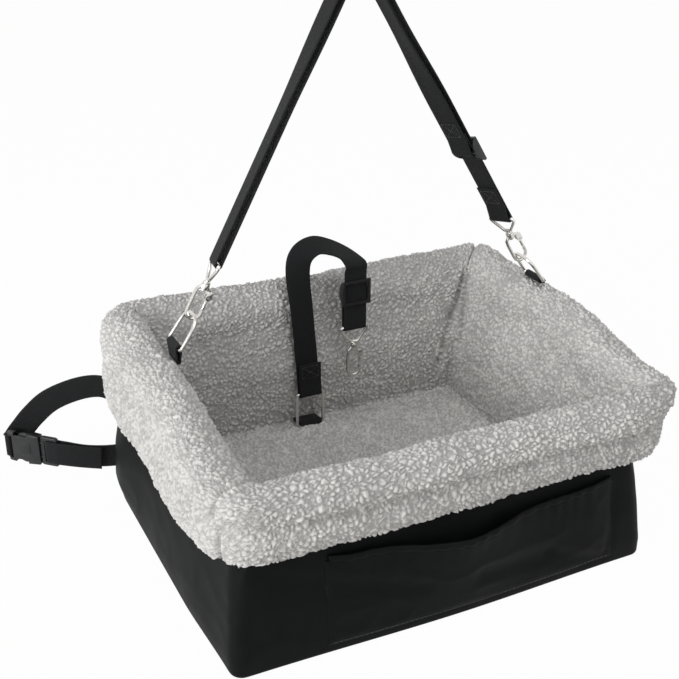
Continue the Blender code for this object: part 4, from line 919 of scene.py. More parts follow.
def webbing_mesh(name, stations, step=0.0028):
    """A strap with rounded selvedges, its weave's place kept for the material."""
    points = [Vector(p) for p, _ in stations]
    sides = [Vector(a).normalized() for _, a in stations]
    fine_points, fine_sides = [points[0]], [sides[0]]
    for k, (a, b) in enumerate(zip(points, points[1:])):
        count = max(1, math.ceil((b - a).length / step))
        for i in range(1, count + 1):
            fine_points.append(a.lerp(b, i / count))
            fine_sides.append(sides[k].lerp(sides[k + 1], i / count).normalized())
    half, edge = WEB_WIDTH / 2, WEB_THICKNESS / 2
    section = [(x * (half - edge * 0.8), edge) for x in np.linspace(-1.0, 1.0, 9)]
    section += [(half - edge * 0.25, edge * 0.72), (half, 0.0), (half - edge * 0.25, -edge * 0.72)]
    section += [(-x, -edge) for x, _ in section[:9]]
    section += [(edge * 0.25 - half, -edge * 0.72), (-half, 0.0), (edge * 0.25 - half, edge * 0.72)]
    made, places, run = [], [], 0.0
    for k, (point, side) in enumerate(zip(fine_points, fine_sides)):
        ahead = fine_points[min(k + 1, len(fine_points) - 1)]
        behind = fine_points[max(k - 1, 0)]
        up = (ahead - behind).cross(side).normalized()
        run += (point - behind).length if k else 0.0
        for x, y in section:
            made.append(point + side * x + up * y)
            places.append((x, run, y))
    mesh = mesh_from(name, made, tube_faces(len(fine_points), len(section)))
    add_vectors(mesh, "web", places)
    return mesh


def smooth_stations(controls, steps=4):
    """A smooth path through (point, across) pairs, with across kept square to the path."""
    points = smooth_path([p for p, _ in controls], steps)
    sides = smooth_path([a for _, a in controls], steps)
    made = []
    for point, side, after, before in zip(points, sides, points[1:] + points[-1:], points[:1] + points[:-1]):
        along = (after - before).normalized()
        made.append((point, (side - along * side.dot(along)).normalized()))
    return made


# Places of the straps

RING_TOP_Z = RIM_HEIGHT + 0.0325
RING_TOPS = {
    "left": (0.054 - BASE_WIDTH / 2, HANG_Y, RING_TOP_Z),
    "right": (BASE_WIDTH / 2 + 0.008, HANG_Y, RING_TOP_Z),
}
RING_LEANS = {"left": 35.0, "right": -36.0}
RING_HEIGHT = 0.032
TAB_ROOTS = {"left": 0.018, "right": -0.005}
HOOK_LENGTH = 0.056
APEX = Vector((0.0185, HANG_Y, RIM_HEIGHT + 0.339))
APEX_RADIUS = 0.014
SLIDER_HEIGHT_Z = RIM_HEIGHT + 0.150
SEWN_END = 0.038
TWIST_START = 0.140
TWIST_END = 0.240
TWISTS = {"right": 18.0, "left": -10.0}
GLIDE_HALF_LENGTH = 0.0135
TETHER_X = -0.0005
TETHER_Y = BASE_DEPTH / 2 - 0.036
TETHER_RING_Z = 0.0375
TETHER_RING_HEIGHT = 0.036
TETHER_ARCH_Z = RIM_HEIGHT + 0.048
TETHER_HANG_X = 0.047
TETHER_EYE_Z = 0.1445
TETHER_SLIDER_Z = 0.184
TETHER_SEWN_END = 0.024
BAR_WRAP = WIRE_RADIUS + CLEAR + WEB_THICKNESS / 2
LAYER_STEP = WEB_THICKNESS + CLEAR
LINK_STEP = 2 * WIRE_RADIUS + CLEAR
BAR_OFFSET = -(WEB_THICKNESS / 2 + CLEAR + WEB_THICKNESS + CLEAR + WIRE_RADIUS)
# Lengths from a turn to the first point of the straight run after it, and to where the return strand starts
TURN_GAP = 0.006
RETURN_START = 0.012
WRAP_STEPS = 14
HALF_TURN = [math.pi * i / WRAP_STEPS for i in range(WRAP_STEPS + 1)]


def direction(degrees):
    """Unit vector in XZ, turned from vertical toward +X."""
    angle = math.radians(degrees)
    return Vector((math.sin(angle), 0.0, math.cos(angle)))


class Branch:
    """One straight run of strap above a hook's eye, with its outward side and its twist."""

    def __init__(self, eye, along, outward, across, twist=0.0):
        self.eye = Vector(eye)
        self.along = Vector(along).normalized()
        self.outward = Vector(outward)
        self.across = Vector(across)
        self.twist = twist

    def turned(self, vector, s):
        ease = 1.0 - float(blend(s, TWIST_START, TWIST_END))
        return Matrix.Rotation(math.radians(self.twist) * ease, 3, self.along) @ vector

    def point(self, s, offset):
        return self.eye + self.along * s + self.turned(self.outward, s) * offset

    def side(self, s):
        return self.turned(self.across, s)

    def run(self, start, end, offset, steps):
        places = [start + (end - start) * i / steps for i in range(steps + 1)]
        return [(self.point(s, offset), self.side(s)) for s in places]

    def wrap(self, s, middle, sign, way=1):
        """Half turn round a bar at distance s: below it, or above it where way is -1."""
        made = []
        for angle in HALF_TURN:
            offset = middle + sign * BAR_WRAP * math.cos(angle)
            round_bar = self.along * way * BAR_WRAP * math.sin(angle)
            made.append((self.point(s, offset) - round_bar, self.side(s)))
        return made


def strap_branch(side):
    top = Vector(RING_TOPS[side])
    along = (APEX - top).normalized()
    outward = Vector((0, 1, 0)).cross(along) * (1 if side == "right" else -1)
    return Branch(top + along * (HOOK_LENGTH - LINK_STEP), along, outward, (0, 1, 0), TWISTS[side])


def apex_turn(offset, steps=16):
    """The rounded top of the strap, from the right branch over to the left."""
    left, right = strap_branch("left"), strap_branch("right")
    half = left.along.angle(right.along) / 2
    down = -(left.along + right.along).normalized()
    centre = APEX + down * APEX_RADIUS / math.sin(half)
    outs = [right.outward.slerp(left.outward, i / steps) for i in range(steps + 1)]
    return [(centre + out * (APEX_RADIUS + offset), Vector((0, 1, 0))) for out in outs]


def apex_reach():
    left, right = strap_branch("left"), strap_branch("right")
    tangent = APEX_RADIUS / math.tan(left.along.angle(right.along) / 2)
    return (APEX - left.eye).length - tangent, (APEX - right.eye).length - tangent


def slider_place():
    right = strap_branch("right")
    return (SLIDER_HEIGHT_Z - right.eye.z) / right.along.z


def hanging_stations():
    """Right eye, slider, top, round the left eye and back over the top."""
    left, right = strap_branch("left"), strap_branch("right")
    left_reach, right_reach = apex_reach()
    raw = BAR_WRAP - LAYER_STEP
    stations = [(right.point(s, raw), right.side(s)) for s in (SEWN_END, SEWN_END * 0.7, SEWN_END * 0.4)]
    stations += right.wrap(0.0, 0.0, -1) + right.run(TURN_GAP, right_reach, BAR_WRAP, 40)
    stations += apex_turn(BAR_WRAP)[1:]
    stations += left.run(left_reach - TURN_GAP, TURN_GAP, BAR_WRAP, 30) + left.wrap(0.0, 0.0, 1)
    stations += left.run(TURN_GAP, left_reach, -BAR_WRAP, 30) + list(reversed(apex_turn(-BAR_WRAP)))[1:]
    return stations + right.run(right_reach - TURN_GAP, right_reach - RETURN_START, -BAR_WRAP, 1)


def return_stations():
    """The rest of that strand, from the top down to the slider; it lengthens as the slider moves."""
    right, reach = strap_branch("right"), apex_reach()[1]
    return right.run(reach - RETURN_START, slider_place() + SEWN_END + CLEAR, -BAR_WRAP, 30)


def sewn_end_stations(branch, s, length, way=1):
    """The strap's own end, folded round the slider's centre bar and sewn to itself."""
    middle, raw = BAR_WRAP + BAR_OFFSET, LAYER_STEP - BAR_WRAP
    places = [s + way * length * share for share in (1.0, 0.8, 0.6, 0.4)]
    stations = [(branch.point(place, -BAR_WRAP), branch.side(place)) for place in places]
    stations += [(branch.point(s + way * 0.007, middle - BAR_WRAP * 0.85), branch.side(s))]
    stations += branch.wrap(s, middle, -1, way)
    stations += [(branch.point(s + way * 0.008, raw + 0.0004), branch.side(s))]
    return stations + [(branch.point(s + way * length * 0.6, raw), branch.side(s))]


def folded_tab_stations(bar, root, across):
    """Short webbing folded round a bar, its two layers meeting at the seam."""
    back = (root - bar).normalized()
    side = Vector(across).cross(back)
    turn = [bar + (side * math.cos(a) - back * math.sin(a)) * BAR_WRAP for a in HALF_TURN]
    ends = [root + side * LAYER_STEP / 2, root - side * LAYER_STEP / 2]
    return [(p, Vector(across)) for p in ends[:1] + turn + ends[1:]]


def rim_tab_stations(side):
    inward = TAB_ROOTS[side]
    sign = -1 if side == "left" else 1
    crest = leaning(sign * half_sizes(RIM_HEIGHT, 0.0)[0], HANG_Y, RIM_HEIGHT)
    drop = ROLL_RADIUS - math.sqrt(ROLL_RADIUS**2 - inward**2)
    root = crest + Vector((-sign * inward, 0.0, LAYER_STEP + 3 * CLEAR - drop))
    bar = Vector(RING_TOPS[side]) - direction(RING_LEANS[side]) * RING_HEIGHT
    return folded_tab_stations(bar, root, (0, 1, 0))


def anchor_stations():
    floor = FLOOR_LOW + FLEECE_THICKNESS
    crease = half_sizes(floor, WALL_FACE - 3 * CLEAR)[1]
    root = Vector((TETHER_X, crease, floor + LAYER_STEP + 2 * CLEAR))
    return folded_tab_stations(Vector((TETHER_X, TETHER_Y, TETHER_RING_Z)), root, (1, 0, 0))


def tether_branch():
    return Branch((TETHER_HANG_X, TETHER_Y - 0.008, TETHER_EYE_Z), (0, 0, 1), (0, -1, 0), (1, 0, 0))


def tether_stations():
    """From the ring up the back wall, twisted over an arch, down through the slider to the snap."""
    top = Vector((TETHER_X, TETHER_Y, TETHER_RING_Z + TETHER_RING_HEIGHT))
    across = Vector((1, 0, 0))
    front = LAYER_STEP - BAR_WRAP
    stations = [(top + Vector((0, front, z)), across) for z in (0.034, 0.012)]
    for angle in HALF_TURN:
        stations.append((top + Vector((0, -math.cos(angle), -math.sin(angle))) * BAR_WRAP, across))
    branch = tether_branch()
    start = branch.point(TETHER_SLIDER_Z - TETHER_EYE_Z + GLIDE_HALF_LENGTH + 0.0075, BAR_WRAP)
    back, arch = top.y + BAR_WRAP, TETHER_ARCH_Z
    controls = [
        ((top.x - 0.0005, back, top.z + 0.010), across),
        ((top.x - 0.002, back + 0.001, top.z + 0.040), across),
        ((top.x - 0.005, back + 0.004, arch - 0.066), across),
        ((top.x - 0.008, back + 0.006, arch - 0.026), (0.95, -0.25, -0.10)),
        ((top.x - 0.003, back + 0.008, arch - 0.008), (0.55, -0.62, -0.50)),
        ((top.x + 0.012, back + 0.009, arch), (0.0, -0.85, -0.52)),
        ((top.x + 0.028, back + 0.005, arch - 0.003), (-0.35, -0.85, -0.35)),
        ((top.x + 0.0415, back - 0.003, arch - 0.010), (-0.80, -0.55, -0.05)),
        (start + Vector((0, 0, 0.0085)), (-1.0, -0.1, 0)),
        (start, -across),
    ]
    stations += smooth_stations(controls, 10)
    down = branch.run(start.z - TETHER_EYE_Z - TURN_GAP, TURN_GAP, BAR_WRAP, 8) + branch.wrap(0.0, 0.0, 1)
    down += branch.run(TURN_GAP, TETHER_SLIDER_Z - TETHER_EYE_Z - TETHER_SEWN_END - CLEAR, -BAR_WRAP, 6)
    return stations + [(p, -across) for p, _ in down]


# Belt and buckle

BELT_UPPER_X, BELT_UPPER_Z = 0.060 - BASE_WIDTH / 2, 0.096
BELT_ANCHOR_X, BELT_ANCHOR_Z = BASE_WIDTH / 2 - 0.050, 0.092
BUCKLE_AZIMUTH = -43.8
BUCKLE_PLACE = Vector((-BASE_WIDTH / 2 - 0.055, BASE_DEPTH / 2 + 0.031, 0.030))
CLIP_LENGTH = 0.020
CLIP_THICKNESS = 0.0046
CLIP_TURN = 0.0103
WEB_BAR_X = -0.0385
# Routes off the box: distance past its left side, distance behind its back, height
BELT_UPPER_ROUTE = [
    (-0.008, 0.016, 0.0945),
    (0.009, 0.029, 0.0975),
    (0.029, 0.042, 0.0920),
    (0.053, 0.056, 0.0785),
    (0.070, 0.066, 0.0605),
]
BELT_TAIL_ROUTE = [(0.048, 0.023, 0.0290), (0.033, 0.0158, 0.0270), (0.016, 0.0082, 0.0252)]
BELT_BACK_ROUTE = [(0.05, 0.075), (-0.05, 0.052), (-0.140, 0.032)]
BELT_LOWER_ROUTE = [(-0.022, 0.0045, 0.0270), (0.003, 0.0095, 0.0250), (0.028, 0.018, 0.0265)]
UP = Vector((0, 0, 1))


def buckle_frame():
    """Local X from socket to clip, local Y up, local Z toward the outside of the belt."""
    along = Matrix.Rotation(math.radians(BUCKLE_AZIMUTH), 3, "Z") @ Vector((1, 0, 0))
    made = Matrix((along, UP, along.cross(UP))).transposed().to_4x4()
    made.translation = BUCKLE_PLACE - along * CLIP_LENGTH
    return made


def behind(x, z, gap=0.0):
    """Middle of webbing that lies against the back panel."""
    return Vector((x, half_sizes(z - WEB_WIDTH / 2, CLEAR + WEB_THICKNESS / 2 + gap)[1], z))


def past_corner(left, back, z):
    """A point off the box, from its back left corner."""
    return Vector((-BASE_WIDTH / 2 - left, BASE_DEPTH / 2 + back, z))


def belt_upper_stations():
    place = buckle_frame()
    controls = [behind(BELT_UPPER_X, BELT_UPPER_Z), behind(BELT_UPPER_X - 0.022, BELT_UPPER_Z - 0.001, 0.002)]
    controls += [past_corner(*point) for point in BELT_UPPER_ROUTE]
    for x, y, z in ((0.0104, 0.0140, -0.0107), (0.0045, 0.0060, -0.0082), (0.0008, 0.0012, -0.0054)):
        controls.append(place @ Vector((WEB_BAR_X + x, y, z)))
    wraps = []
    for angle in (math.radians(50.0 + 23.5 * i) for i in range(11)):
        spot = Vector((WEB_BAR_X - BAR_WRAP * math.sin(angle), 0.0, -BAR_WRAP * math.cos(angle)))
        wraps.append((place @ spot, UP))
    return smooth_stations([(p, UP) for p in controls], 6) + wraps


def belt_lower_stations():
    place = buckle_frame()
    level = CLIP_THICKNESS / 2 + CLEAR + WEB_THICKNESS / 2
    controls = [behind(BELT_ANCHOR_X, BELT_ANCHOR_Z)]
    controls += [behind(BELT_ANCHOR_X - 0.02, BELT_ANCHOR_Z - 0.004, 0.0006)]
    controls += [behind(x, z, 0.0025) for x, z in BELT_BACK_ROUTE]
    controls += [past_corner(*point) for point in BELT_LOWER_ROUTE]
    controls += [place @ Vector((x, 0.0, -level)) for x in (CLIP_LENGTH + 0.0055, CLIP_LENGTH)]
    turn = []
    for angle in HALF_TURN:
        spot = Vector((CLIP_TURN - level * math.sin(angle), 0.0, -level * math.cos(angle)))
        turn.append((place @ spot, UP))
    tail = [place @ Vector((CLIP_LENGTH, 0.0, level))] + [past_corner(*point) for point in BELT_TAIL_ROUTE]
    stations = smooth_stations([(p, UP) for p in controls], 6) + turn
    return stations + smooth_stations([(p, UP) for p in tail], 6)


# Hardware

WELD = 0.000002
METAL_BEVEL = 0.00018
PLASTIC_BEVEL = 0.00035


def refined_mesh(node, bevel):
    """A node's own shape with welded points, small rounded edges and smooth round faces."""
    bm = bmesh.new()
    bm.from_mesh(frame["nodes"][node].data)
    bmesh.ops.remove_doubles(bm, verts=bm.verts, dist=WELD)
    bmesh.ops.dissolve_degenerate(bm, dist=WELD, edges=bm.edges)
    made = bpy.data.meshes.new(node + "_refined")
    bm.to_mesh(made)
    bm.free()
    if bevel:
        settings = {"width": bevel, "segments": 2, "limit_method": "ANGLE", "angle_limit": math.radians(38.0)}
        made = applied(made, ("BEVEL", settings))
    made.shade_smooth()
    made.set_sharp_from_angle(angle=math.radians(42.0))
    return made


# Stitching

STITCH_PITCH = 0.0036
STITCH_RADIUS = 0.00028
BOX_SHARE = 0.72


def stitch_row(start, end, up):
    """Points and faces of one row of raised stitches between two points."""
    start, end = Vector(start), Vector(end)
    along = (end - start).normalized()
    up = Vector(up).normalized()
    side = along.cross(up).normalized()
    count = max(1, int((end - start).length / STITCH_PITCH))
    points, faces = [], []
    for k in range(count):
        base = start + (end - start) * ((k + 0.5) / count)
        first = len(points)
        for t in (-0.42, -0.25, 0.0, 0.25, 0.42):
            rise = STITCH_RADIUS * (1.0 if abs(t) < 0.3 else -0.2)
            centre = base + along * t * STITCH_PITCH + up * rise
            for angle in (math.pi * a / 3 for a in range(6)):
                ring = side * math.cos(angle) + up * math.sin(angle)
                points.append(centre + ring * STITCH_RADIUS * (1.0 - abs(t) * 0.5))
        faces += tube_faces(5, 6, first)
    return points, faces


def stitches_mesh(name, rows):
    """Several rows of stitches in one mesh; each row is (start, end, up)."""
    points, faces = [], []
    for row in rows:
        made, made_faces = stitch_row(*row)
        faces += [tuple(i + len(points) for i in face) for face in made_faces]
        points += made
    return mesh_from(name, points, faces)


def box_stitch(middle, along, across, up, length, width):
    """Rows of a sewn box with its cross, on webbing."""
    a, b = Vector(along).normalized() * length / 2, Vector(across).normalized() * width / 2
    m = Vector(middle) + Vector(up).normalized() * (WEB_THICKNESS / 2)
    corners = [m - a - b, m + a - b, m + a + b, m - a + b]
    rows = [(p, q, up) for p, q in zip(corners, corners[1:] + corners[:1])]
    return rows + [(corners[0], corners[2], up), (corners[1], corners[3], up)]


def tab_rows(stations):
    """Two rows of stitches across each face of a folded tab, near its seam."""
    across = stations[0][1]
    outward = stations[0][0] - stations[-1][0]
    rows = []
    for (root, _), (turn, _) in ((stations[0], stations[1]), (stations[-1], stations[-2])):
        up = (turn - root).cross(across).normalized()
        up = up if up.dot(outward) > 0.0 else -up
        outward = -outward
        for share in (0.18, 0.42):
            middle = root.lerp(turn, share) + up * WEB_THICKNESS / 2
            reach = across * WEB_WIDTH * 0.4
            rows.append((middle - reach, middle + reach, up))
    return rows


def pocket_rows():
    """The pocket's seam along the bottom."""
    spots = []
    for i in range(61):
        x, z, out = pocket_face(0.013 + 0.974 * i / 60, 0.03)
        spots.append(leaning(x, -half_sizes(z, out + POCKET_THICKNESS * 0.5)[1], z))
    spots = [Vector(spot) for spot in footed(spots)]
    return [(a, b, (0, -1, 0)) for a, b in zip(spots, spots[1:])]


def branch_box(branch, s, offset, sign, length):
    """A sewn box on one face of a hanging strap."""
    side, up = branch.side(s), branch.turned(branch.outward, s) * sign
    return box_stitch(branch.point(s, offset), branch.along, side, up, length, WEB_WIDTH * BOX_SHARE)


# Settings


def colour_setting(name, description, value):
    """A colour that a user may change, from an sRGB hex value."""
    return bpy.props.FloatVectorProperty(
        name=name, description=description, default=linear(value), size=4, subtype="COLOR"
    )


class BOOSTER_PG_settings(bpy.types.PropertyGroup):
    """Sizes and colours that a user may change before the pieces are made."""

    curl_size: bpy.props.FloatProperty(
        name="Curl Size", description="Spacing of the fleece's curls", default=0.0044,
        unit="LENGTH", subtype="DISTANCE",
    )
    pile_depth: bpy.props.FloatProperty(
        name="Pile Depth", description="Height of the curls over the hollows between them", default=0.0027,
        unit="LENGTH", subtype="DISTANCE",
    )
    fleece_light: colour_setting("Fleece Tips", "Colour of the curls' tips", "#e4e2df")
    # The darker fleece colour is painted shade in the hollows between the curls
    fleece_painted_hollow_shade: colour_setting("Fleece Hollows", "Colour between the curls", "#a9a9a8")
    nylon_colour: colour_setting("Nylon", "Colour of the shell and pocket", "#08090a")
    nylon_worn: colour_setting("Rubbed Nylon", "Colour of its rubbed folds", "#0f1011")
    webbing_colour: colour_setting("Webbing", "Colour of every strap", "#0d0e0f")
    # Paler colour of the rubbed edges, also used for the painted highlight on the raised ribs
    webbing_worn: colour_setting("Rubbed Webbing", "Colour of rubbed ribs and edges", "#1e1f21")
    nickel_colour: colour_setting("Nickel", "Colour of the plated rings and hooks", "#e2e0dc")
    plastic_colour: colour_setting("Plastic", "Colour of the sliders and buckle", "#131416")
    plastic_worn: colour_setting("Rubbed Plastic", "Colour of its rubbed faces", "#222326")
    thread_colour: colour_setting("Thread", "Colour of the stitching", "#141517")


# Each shared material: its name, the function that makes it, and the settings that hold its colours
SHARED = {
    "fleece": ("polyester_sherpa_tumbled", sherpa_fleece, ("fleece_light", "fleece_painted_hollow_shade")),
    "nylon": ("nylon_oxford_woven", oxford_nylon, ("nylon_colour", "nylon_worn")),
    "webbing": ("polyester_webbing_woven", polyester_webbing, ("webbing_colour", "webbing_worn")),
    "nickel": ("nickel_plate_on_die_cast_zinc", nickel_plate, ("nickel_colour",)),
    "acetal": ("acetal_moulded", moulded_acetal, ("plastic_colour", "plastic_worn")),
    "thread": ("polyester_thread_twisted", sewing_thread, ("thread_colour",)),
}


def shared(key):
    """A shared material, made once, in the colours that are set."""
    name, make, settings = SHARED[key]
    colours = [tuple(getattr(bpy.context.scene.booster_seat, setting)) for setting in settings]
    return bpy.data.materials.get(name) or make(*colours)


def strap(node, stations, body):
    """A strap of webbing in place of a node."""
    made = add_piece("webbing_" + node, webbing_mesh(node, stations), shared("webbing"), body)
    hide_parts(node)
    return made


def stitched(name, rows, body):
    return add_piece("stitches_" + name, stitches_mesh(name, rows), shared("thread"), body)


# Operators: one for each group of like pieces


class BOOSTER_OT_stitches(bpy.types.Operator):
    """Make the stitching on the tabs, sewn ends, belt roots and pocket"""

    bl_idname = "booster.stitches"
    bl_label = "Stitching"

    def execute(self, context):
        right, tether = strap_branch("right"), tether_branch()
        inner = BAR_WRAP - LAYER_STEP
        wide = WEB_WIDTH * BOX_SHARE
        for side in ("left", "right"):
            stitched("tab_" + side, tab_rows(rim_tab_stations(side)), "seat")
        stitched("anchor", tab_rows(anchor_stations()), "seat")
        stitched("pocket", pocket_rows(), "seat")
        stitched("strap", branch_box(right, SEWN_END * 0.72, inner, -1, 0.015), "hanging_strap")
        end = slider_place() + SEWN_END * 0.74
        stitched("strap_end", branch_box(right, end, -BAR_WRAP, -1, 0.015), "strap_slider")
        ring_top = Vector((TETHER_X, TETHER_Y - inner, TETHER_RING_Z + TETHER_RING_HEIGHT + 0.025))
        stitched("tether", box_stitch(ring_top, UP, (1, 0, 0), (0, -1, 0), 0.013, wide), "tether")
        end = TETHER_SLIDER_Z - TETHER_EYE_Z - TETHER_SEWN_END * 0.74
        stitched("tether_end", branch_box(tether, end, -BAR_WRAP, -1, 0.010), "tether_slider")
        roots = [behind(BELT_UPPER_X - 0.012, BELT_UPPER_Z, 0.001)]
        roots += [behind(BELT_ANCHOR_X - 0.010, BELT_ANCHOR_Z)]
        rows = [row for root in roots for row in box_stitch(root, (1, 0, 0), UP, (0, 1, 0), 0.016, wide)]
        stitched("belt", rows, "seat")
        return {"FINISHED"}


class BOOSTER_OT_fleece(bpy.types.Operator):
    """Make the curly fleece lining with its rolled cuff"""

    bl_idname = "booster.fleece"
    bl_label = "Fleece Lining"

    def execute(self, context):
        settings = context.scene.booster_seat
        mesh = fleece_mesh(settings.curl_size, settings.pile_depth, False)
        piece = add_piece("sherpa_lining", mesh, shared("fleece"))
        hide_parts("fleece_liner")
        return {"FINISHED"}


class BOOSTER_OT_shell(bpy.types.Operator):
    """Make the nylon box around the lining"""

    bl_idname = "booster.shell"
    bl_label = "Nylon Shell"

    def execute(self, context):
        piece = add_piece("nylon_shell", shell_mesh(), shared("nylon"))
        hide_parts("outer_shell")
        return {"FINISHED"}


class BOOSTER_OT_pocket(bpy.types.Operator):
    """Make the front pocket's gathered panel and its ruffled hem"""

    bl_idname = "booster.pocket"
    bl_label = "Front Pocket"

    def execute(self, context):
        panel = add_piece("pocket_panel", pocket_mesh(), shared("nylon"))
        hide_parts("front_pocket")
        hem = add_piece("pocket_hem", pocket_hem_mesh(), shared("nylon"))
        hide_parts("pocket_elastic")
        return {"FINISHED"}


class BOOSTER_OT_hanging(bpy.types.Operator):
    """Make the hanging strap, its sewn end and the rim's webbing tabs"""

    bl_idname = "booster.hanging"
    bl_label = "Hanging Strap"

    def execute(self, context):
        right = strap_branch("right")
        strap("hanging_strap", hanging_stations(), "hanging_strap")
        stations = return_stations()
        mesh = webbing_mesh("strap_return", stations)
        returned = add_piece("webbing_strap_return", mesh, shared("webbing"), None)
        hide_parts("hanging_strap")
        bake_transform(returned)
        strap("strap_end", sewn_end_stations(right, slider_place(), SEWN_END), "strap_slider")
        for side in ("left", "right"):
            strap("tab_" + side, rim_tab_stations(side), "seat")
        return {"FINISHED"}


class BOOSTER_OT_tether(bpy.types.Operator):
    """Make the tether strap, its sewn end and its anchor"""

    bl_idname = "booster.tether"
    bl_label = "Tether"

    def execute(self, context):
        branch = tether_branch()
        place = TETHER_SLIDER_Z - TETHER_EYE_Z
        strap("tether_strap", tether_stations(), "tether")
        strap("tether_end", sewn_end_stations(branch, place, TETHER_SEWN_END, -1), "tether_slider")
        strap("tether_anchor", anchor_stations(), "seat")
        return {"FINISHED"}


class BOOSTER_OT_belt(bpy.types.Operator):
    """Make the two strands of the rear belt"""

    bl_idname = "booster.belt"
    bl_label = "Rear Belt"

    def execute(self, context):
        upper = strap("belt_upper", belt_upper_stations(), None)
        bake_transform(upper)
        strap("belt_lower", belt_lower_stations(), "seat")
        return {"FINISHED"}


METAL_NODES = ["ring_left", "ring_right", "tether_ring"] + [
    f"{side}_hook_{part}" for side in ("left", "right", "tether") for part in ("eye", "body", "gate", "pin")
]
PLASTIC_NODES = [
    "strap_slider", "tether_slider", "buckle_socket", "buckle_clip", "clip_arm_upper", "clip_arm_lower",
]
BOARD_NODES = ["base_board", "wall_board_front", "wall_board_back", "wall_board_left", "wall_board_right"]
FOAM_NODES = ["base_pad", "rim_foam"]


def body_of(node):
    return next(name for name, nodes in frame["record"]["behaviour"]["bodies"].items() if node in nodes)


def refine(nodes, made_of, bevel):
    """Smooth, bevelled pieces in place of hard nodes."""
    for node in nodes:
        mesh = refined_mesh(node, bevel)
        piece = add_piece("fine_" + node, mesh, made_of, body_of(node), smooth=False)
        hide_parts(node)


class BOOSTER_OT_metal(bpy.types.Operator):
    """Finish the rings and the three snap hooks"""

    bl_idname = "booster.metal"
    bl_label = "Rings and Hooks"

    def execute(self, context):
        refine(METAL_NODES, shared("nickel"), METAL_BEVEL)
        return {"FINISHED"}


class BOOSTER_OT_plastic(bpy.types.Operator):
    """Finish the sliders and the side-release buckle"""

    bl_idname = "booster.plastic"
    bl_label = "Sliders and Buckle"

    def execute(self, context):
        refine(PLASTIC_NODES, shared("acetal"), PLASTIC_BEVEL)
        return {"FINISHED"}


def dress_nodes(nodes, made_of):
    """Gives nodes that stay as they are a better material."""
    for node in nodes:
        data = frame["nodes"][node].data
        data.materials.clear()
        data.materials.append(made_of)


class BOOSTER_OT_inside(bpy.types.Operator):
    """Finish the boards and the foam inside the cloth"""

    bl_idname = "booster.inside"
    bl_label = "Boards and Foam"

    def execute(self, context):
        dress_nodes(BOARD_NODES, extruded_board())
        dress_nodes(FOAM_NODES, cut_foam())
        return {"FINISHED"}


# Stage

PHOTO_SIDE = 679
FOCAL_PIXELS = 1125.2
SENSOR = 36.0
PAPER_SIZE = 14.0
PAPER_GAP = 0.0004
CAMERA_PLACE = Vector((-0.432, -0.8367, 0.6149))
CAMERA_AZIMUTH = -25.74
CAMERA_ELEVATION = 24.39
LIGHTS = [
    # name, place, aim, side length in metres, watts
    ("key", (-2.2, -0.62, 0.70), (0.0, 0.0, 0.10), 1.1, 36.0),
    ("fill", (0.7, -2.0, 1.1), (0.0, 0.0, 0.10), 1.6, 4.5),
    ("top", (-0.1, -0.9, 2.1), (0.0, 0.0, 0.10), 1.4, 14.0),
]


def seen_directly(tree):
    """1 for what the camera sees itself, mirrored or through a clear thing, and 0 for light cast on others."""
    paths = add_node(tree, "ShaderNodeLightPath").outputs
    seen = paths["Is Camera Ray"]
    for ray in ("Is Glossy Ray", "Is Transmission Ray"):
        seen = add_node(tree, "ShaderNodeMath", {0: seen, 1: paths[ray]}, operation="MAXIMUM").outputs[0]
    return seen


def seamless_paper():
    """Studio paper, coated and matt: plain white to the camera, with the object's own soft shadow kept."""
    made, tree = new_material("studio_paper_coated")
    matt = add_node(tree, "ShaderNodeBsdfDiffuse", {"Color": linear("#e9e8e6")}).outputs[0]
    glow = add_node(tree, "ShaderNodeEmission", {"Color": linear("#ffffff"), "Strength": 1.0}).outputs[0]
    faded = {0: seen_directly(tree), 1: 0.975}
    share = add_node(tree, "ShaderNodeMath", faded, operation="MULTIPLY").outputs[0]
    return finished(made, add_node(tree, "ShaderNodeMixShader", {0: share, 1: matt, 2: glow}))


def studio_world():
    """A pale room: white where the camera or a reflection sees it, a soft grey light elsewhere."""
    world = bpy.data.worlds.new("studio")
    world.use_nodes = True
    tree = world.node_tree
    tree.nodes.clear()
    soft = add_node(tree, "ShaderNodeBackground", {"Color": linear("#ffffff"), "Strength": 0.30}).outputs[0]
    white = add_node(tree, "ShaderNodeBackground", {"Color": linear("#ffffff"), "Strength": 1.0}).outputs[0]
    both = add_node(tree, "ShaderNodeMixShader", {0: seen_directly(tree), 1: soft, 2: white}).outputs[0]
    add_node(tree, "ShaderNodeOutputWorld", {"Surface": both})
    bpy.context.scene.world = world


def aimed(obj, place, target):
    obj.location = place
    obj.rotation_euler = (Vector(target) - Vector(place)).to_track_quat("-Z", "Y").to_euler()


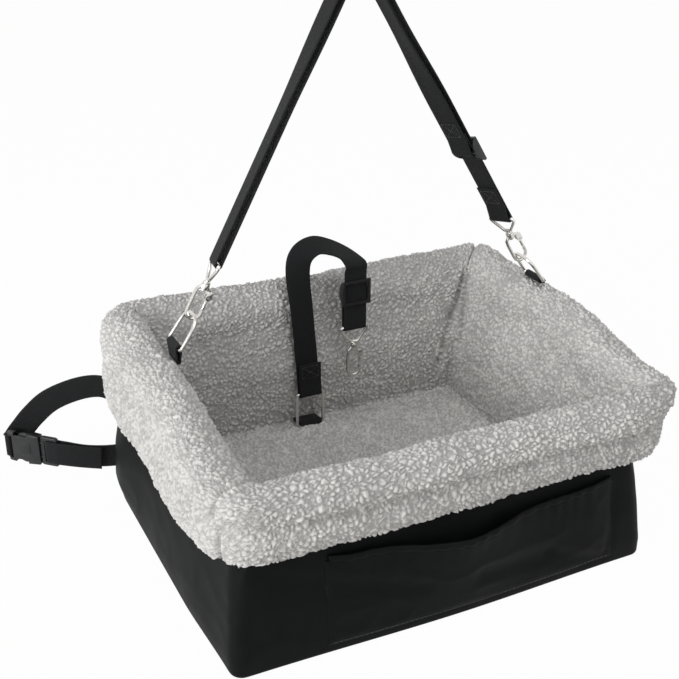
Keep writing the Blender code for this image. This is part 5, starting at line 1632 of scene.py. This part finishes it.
class BOOSTER_OT_stage(bpy.types.Operator):
    """Make the paper floor, the lights and the camera"""

    bl_idname = "booster.stage"
    bl_label = "Studio Stage"

    def execute(self, context):
        scene = context.scene
        bpy.ops.mesh.primitive_plane_add(size=PAPER_SIZE, location=(0.0, 0.0, -PAPER_GAP))
        floor = context.object
        floor.name = "studio_floor"
        floor.data.materials.append(seamless_paper())
        studio_world()
        for name, place, target, side, watts in LIGHTS:
            data = bpy.data.lights.new(name, "AREA")
            data.size = side
            data.energy = watts
            lamp = bpy.data.objects.new(name, data)
            scene.collection.objects.link(lamp)
            aimed(lamp, place, target)
        data = bpy.data.cameras.new("photo_view")
        data.sensor_width = SENSOR
        data.lens = SENSOR * FOCAL_PIXELS / PHOTO_SIDE
        data.clip_start = 0.01
        camera = bpy.data.objects.new("photo_view", data)
        scene.collection.objects.link(camera)
        around, above = math.radians(CAMERA_AZIMUTH), math.radians(CAMERA_ELEVATION)
        level = math.cos(above)
        ahead = Vector((-math.sin(around) * level, math.cos(around) * level, -math.sin(above)))
        aimed(camera, CAMERA_PLACE, CAMERA_PLACE + ahead)
        scene.camera = camera
        scene.view_settings.view_transform = "Standard"
        return {"FINISHED"}


OPERATORS = [
    BOOSTER_OT_stage, BOOSTER_OT_fleece, BOOSTER_OT_shell, BOOSTER_OT_pocket, BOOSTER_OT_hanging,
    BOOSTER_OT_tether, BOOSTER_OT_belt, BOOSTER_OT_metal, BOOSTER_OT_plastic, BOOSTER_OT_inside,
    BOOSTER_OT_stitches,
]


class BOOSTER_PT_panel(bpy.types.Panel):
    """The booster seat's settings and pieces"""

    bl_idname = "BOOSTER_PT_panel"
    bl_label = "Booster Seat"
    bl_space_type = "VIEW_3D"
    bl_region_type = "UI"
    bl_category = "Booster Seat"

    def draw(self, context):
        settings = context.scene.booster_seat
        for name in settings.bl_rna.properties.keys():
            if name not in ("rna_type", "name"):
                self.layout.prop(settings, name)
        for operator in OPERATORS:
            self.layout.operator(operator.bl_idname)


CLASSES = [BOOSTER_PG_settings, *OPERATORS, BOOSTER_PT_panel]


def register():
    for made in CLASSES:
        bpy.utils.register_class(made)
    bpy.types.Scene.booster_seat = bpy.props.PointerProperty(type=BOOSTER_PG_settings)


def unregister():
    del bpy.types.Scene.booster_seat
    for made in reversed(CLASSES):
        bpy.utils.unregister_class(made)


def main():
    register()
    for operator in OPERATORS:
        group, name = operator.bl_idname.split(".")
        getattr(getattr(bpy.ops, group), name)()


if __name__ == "__main__":
    main()
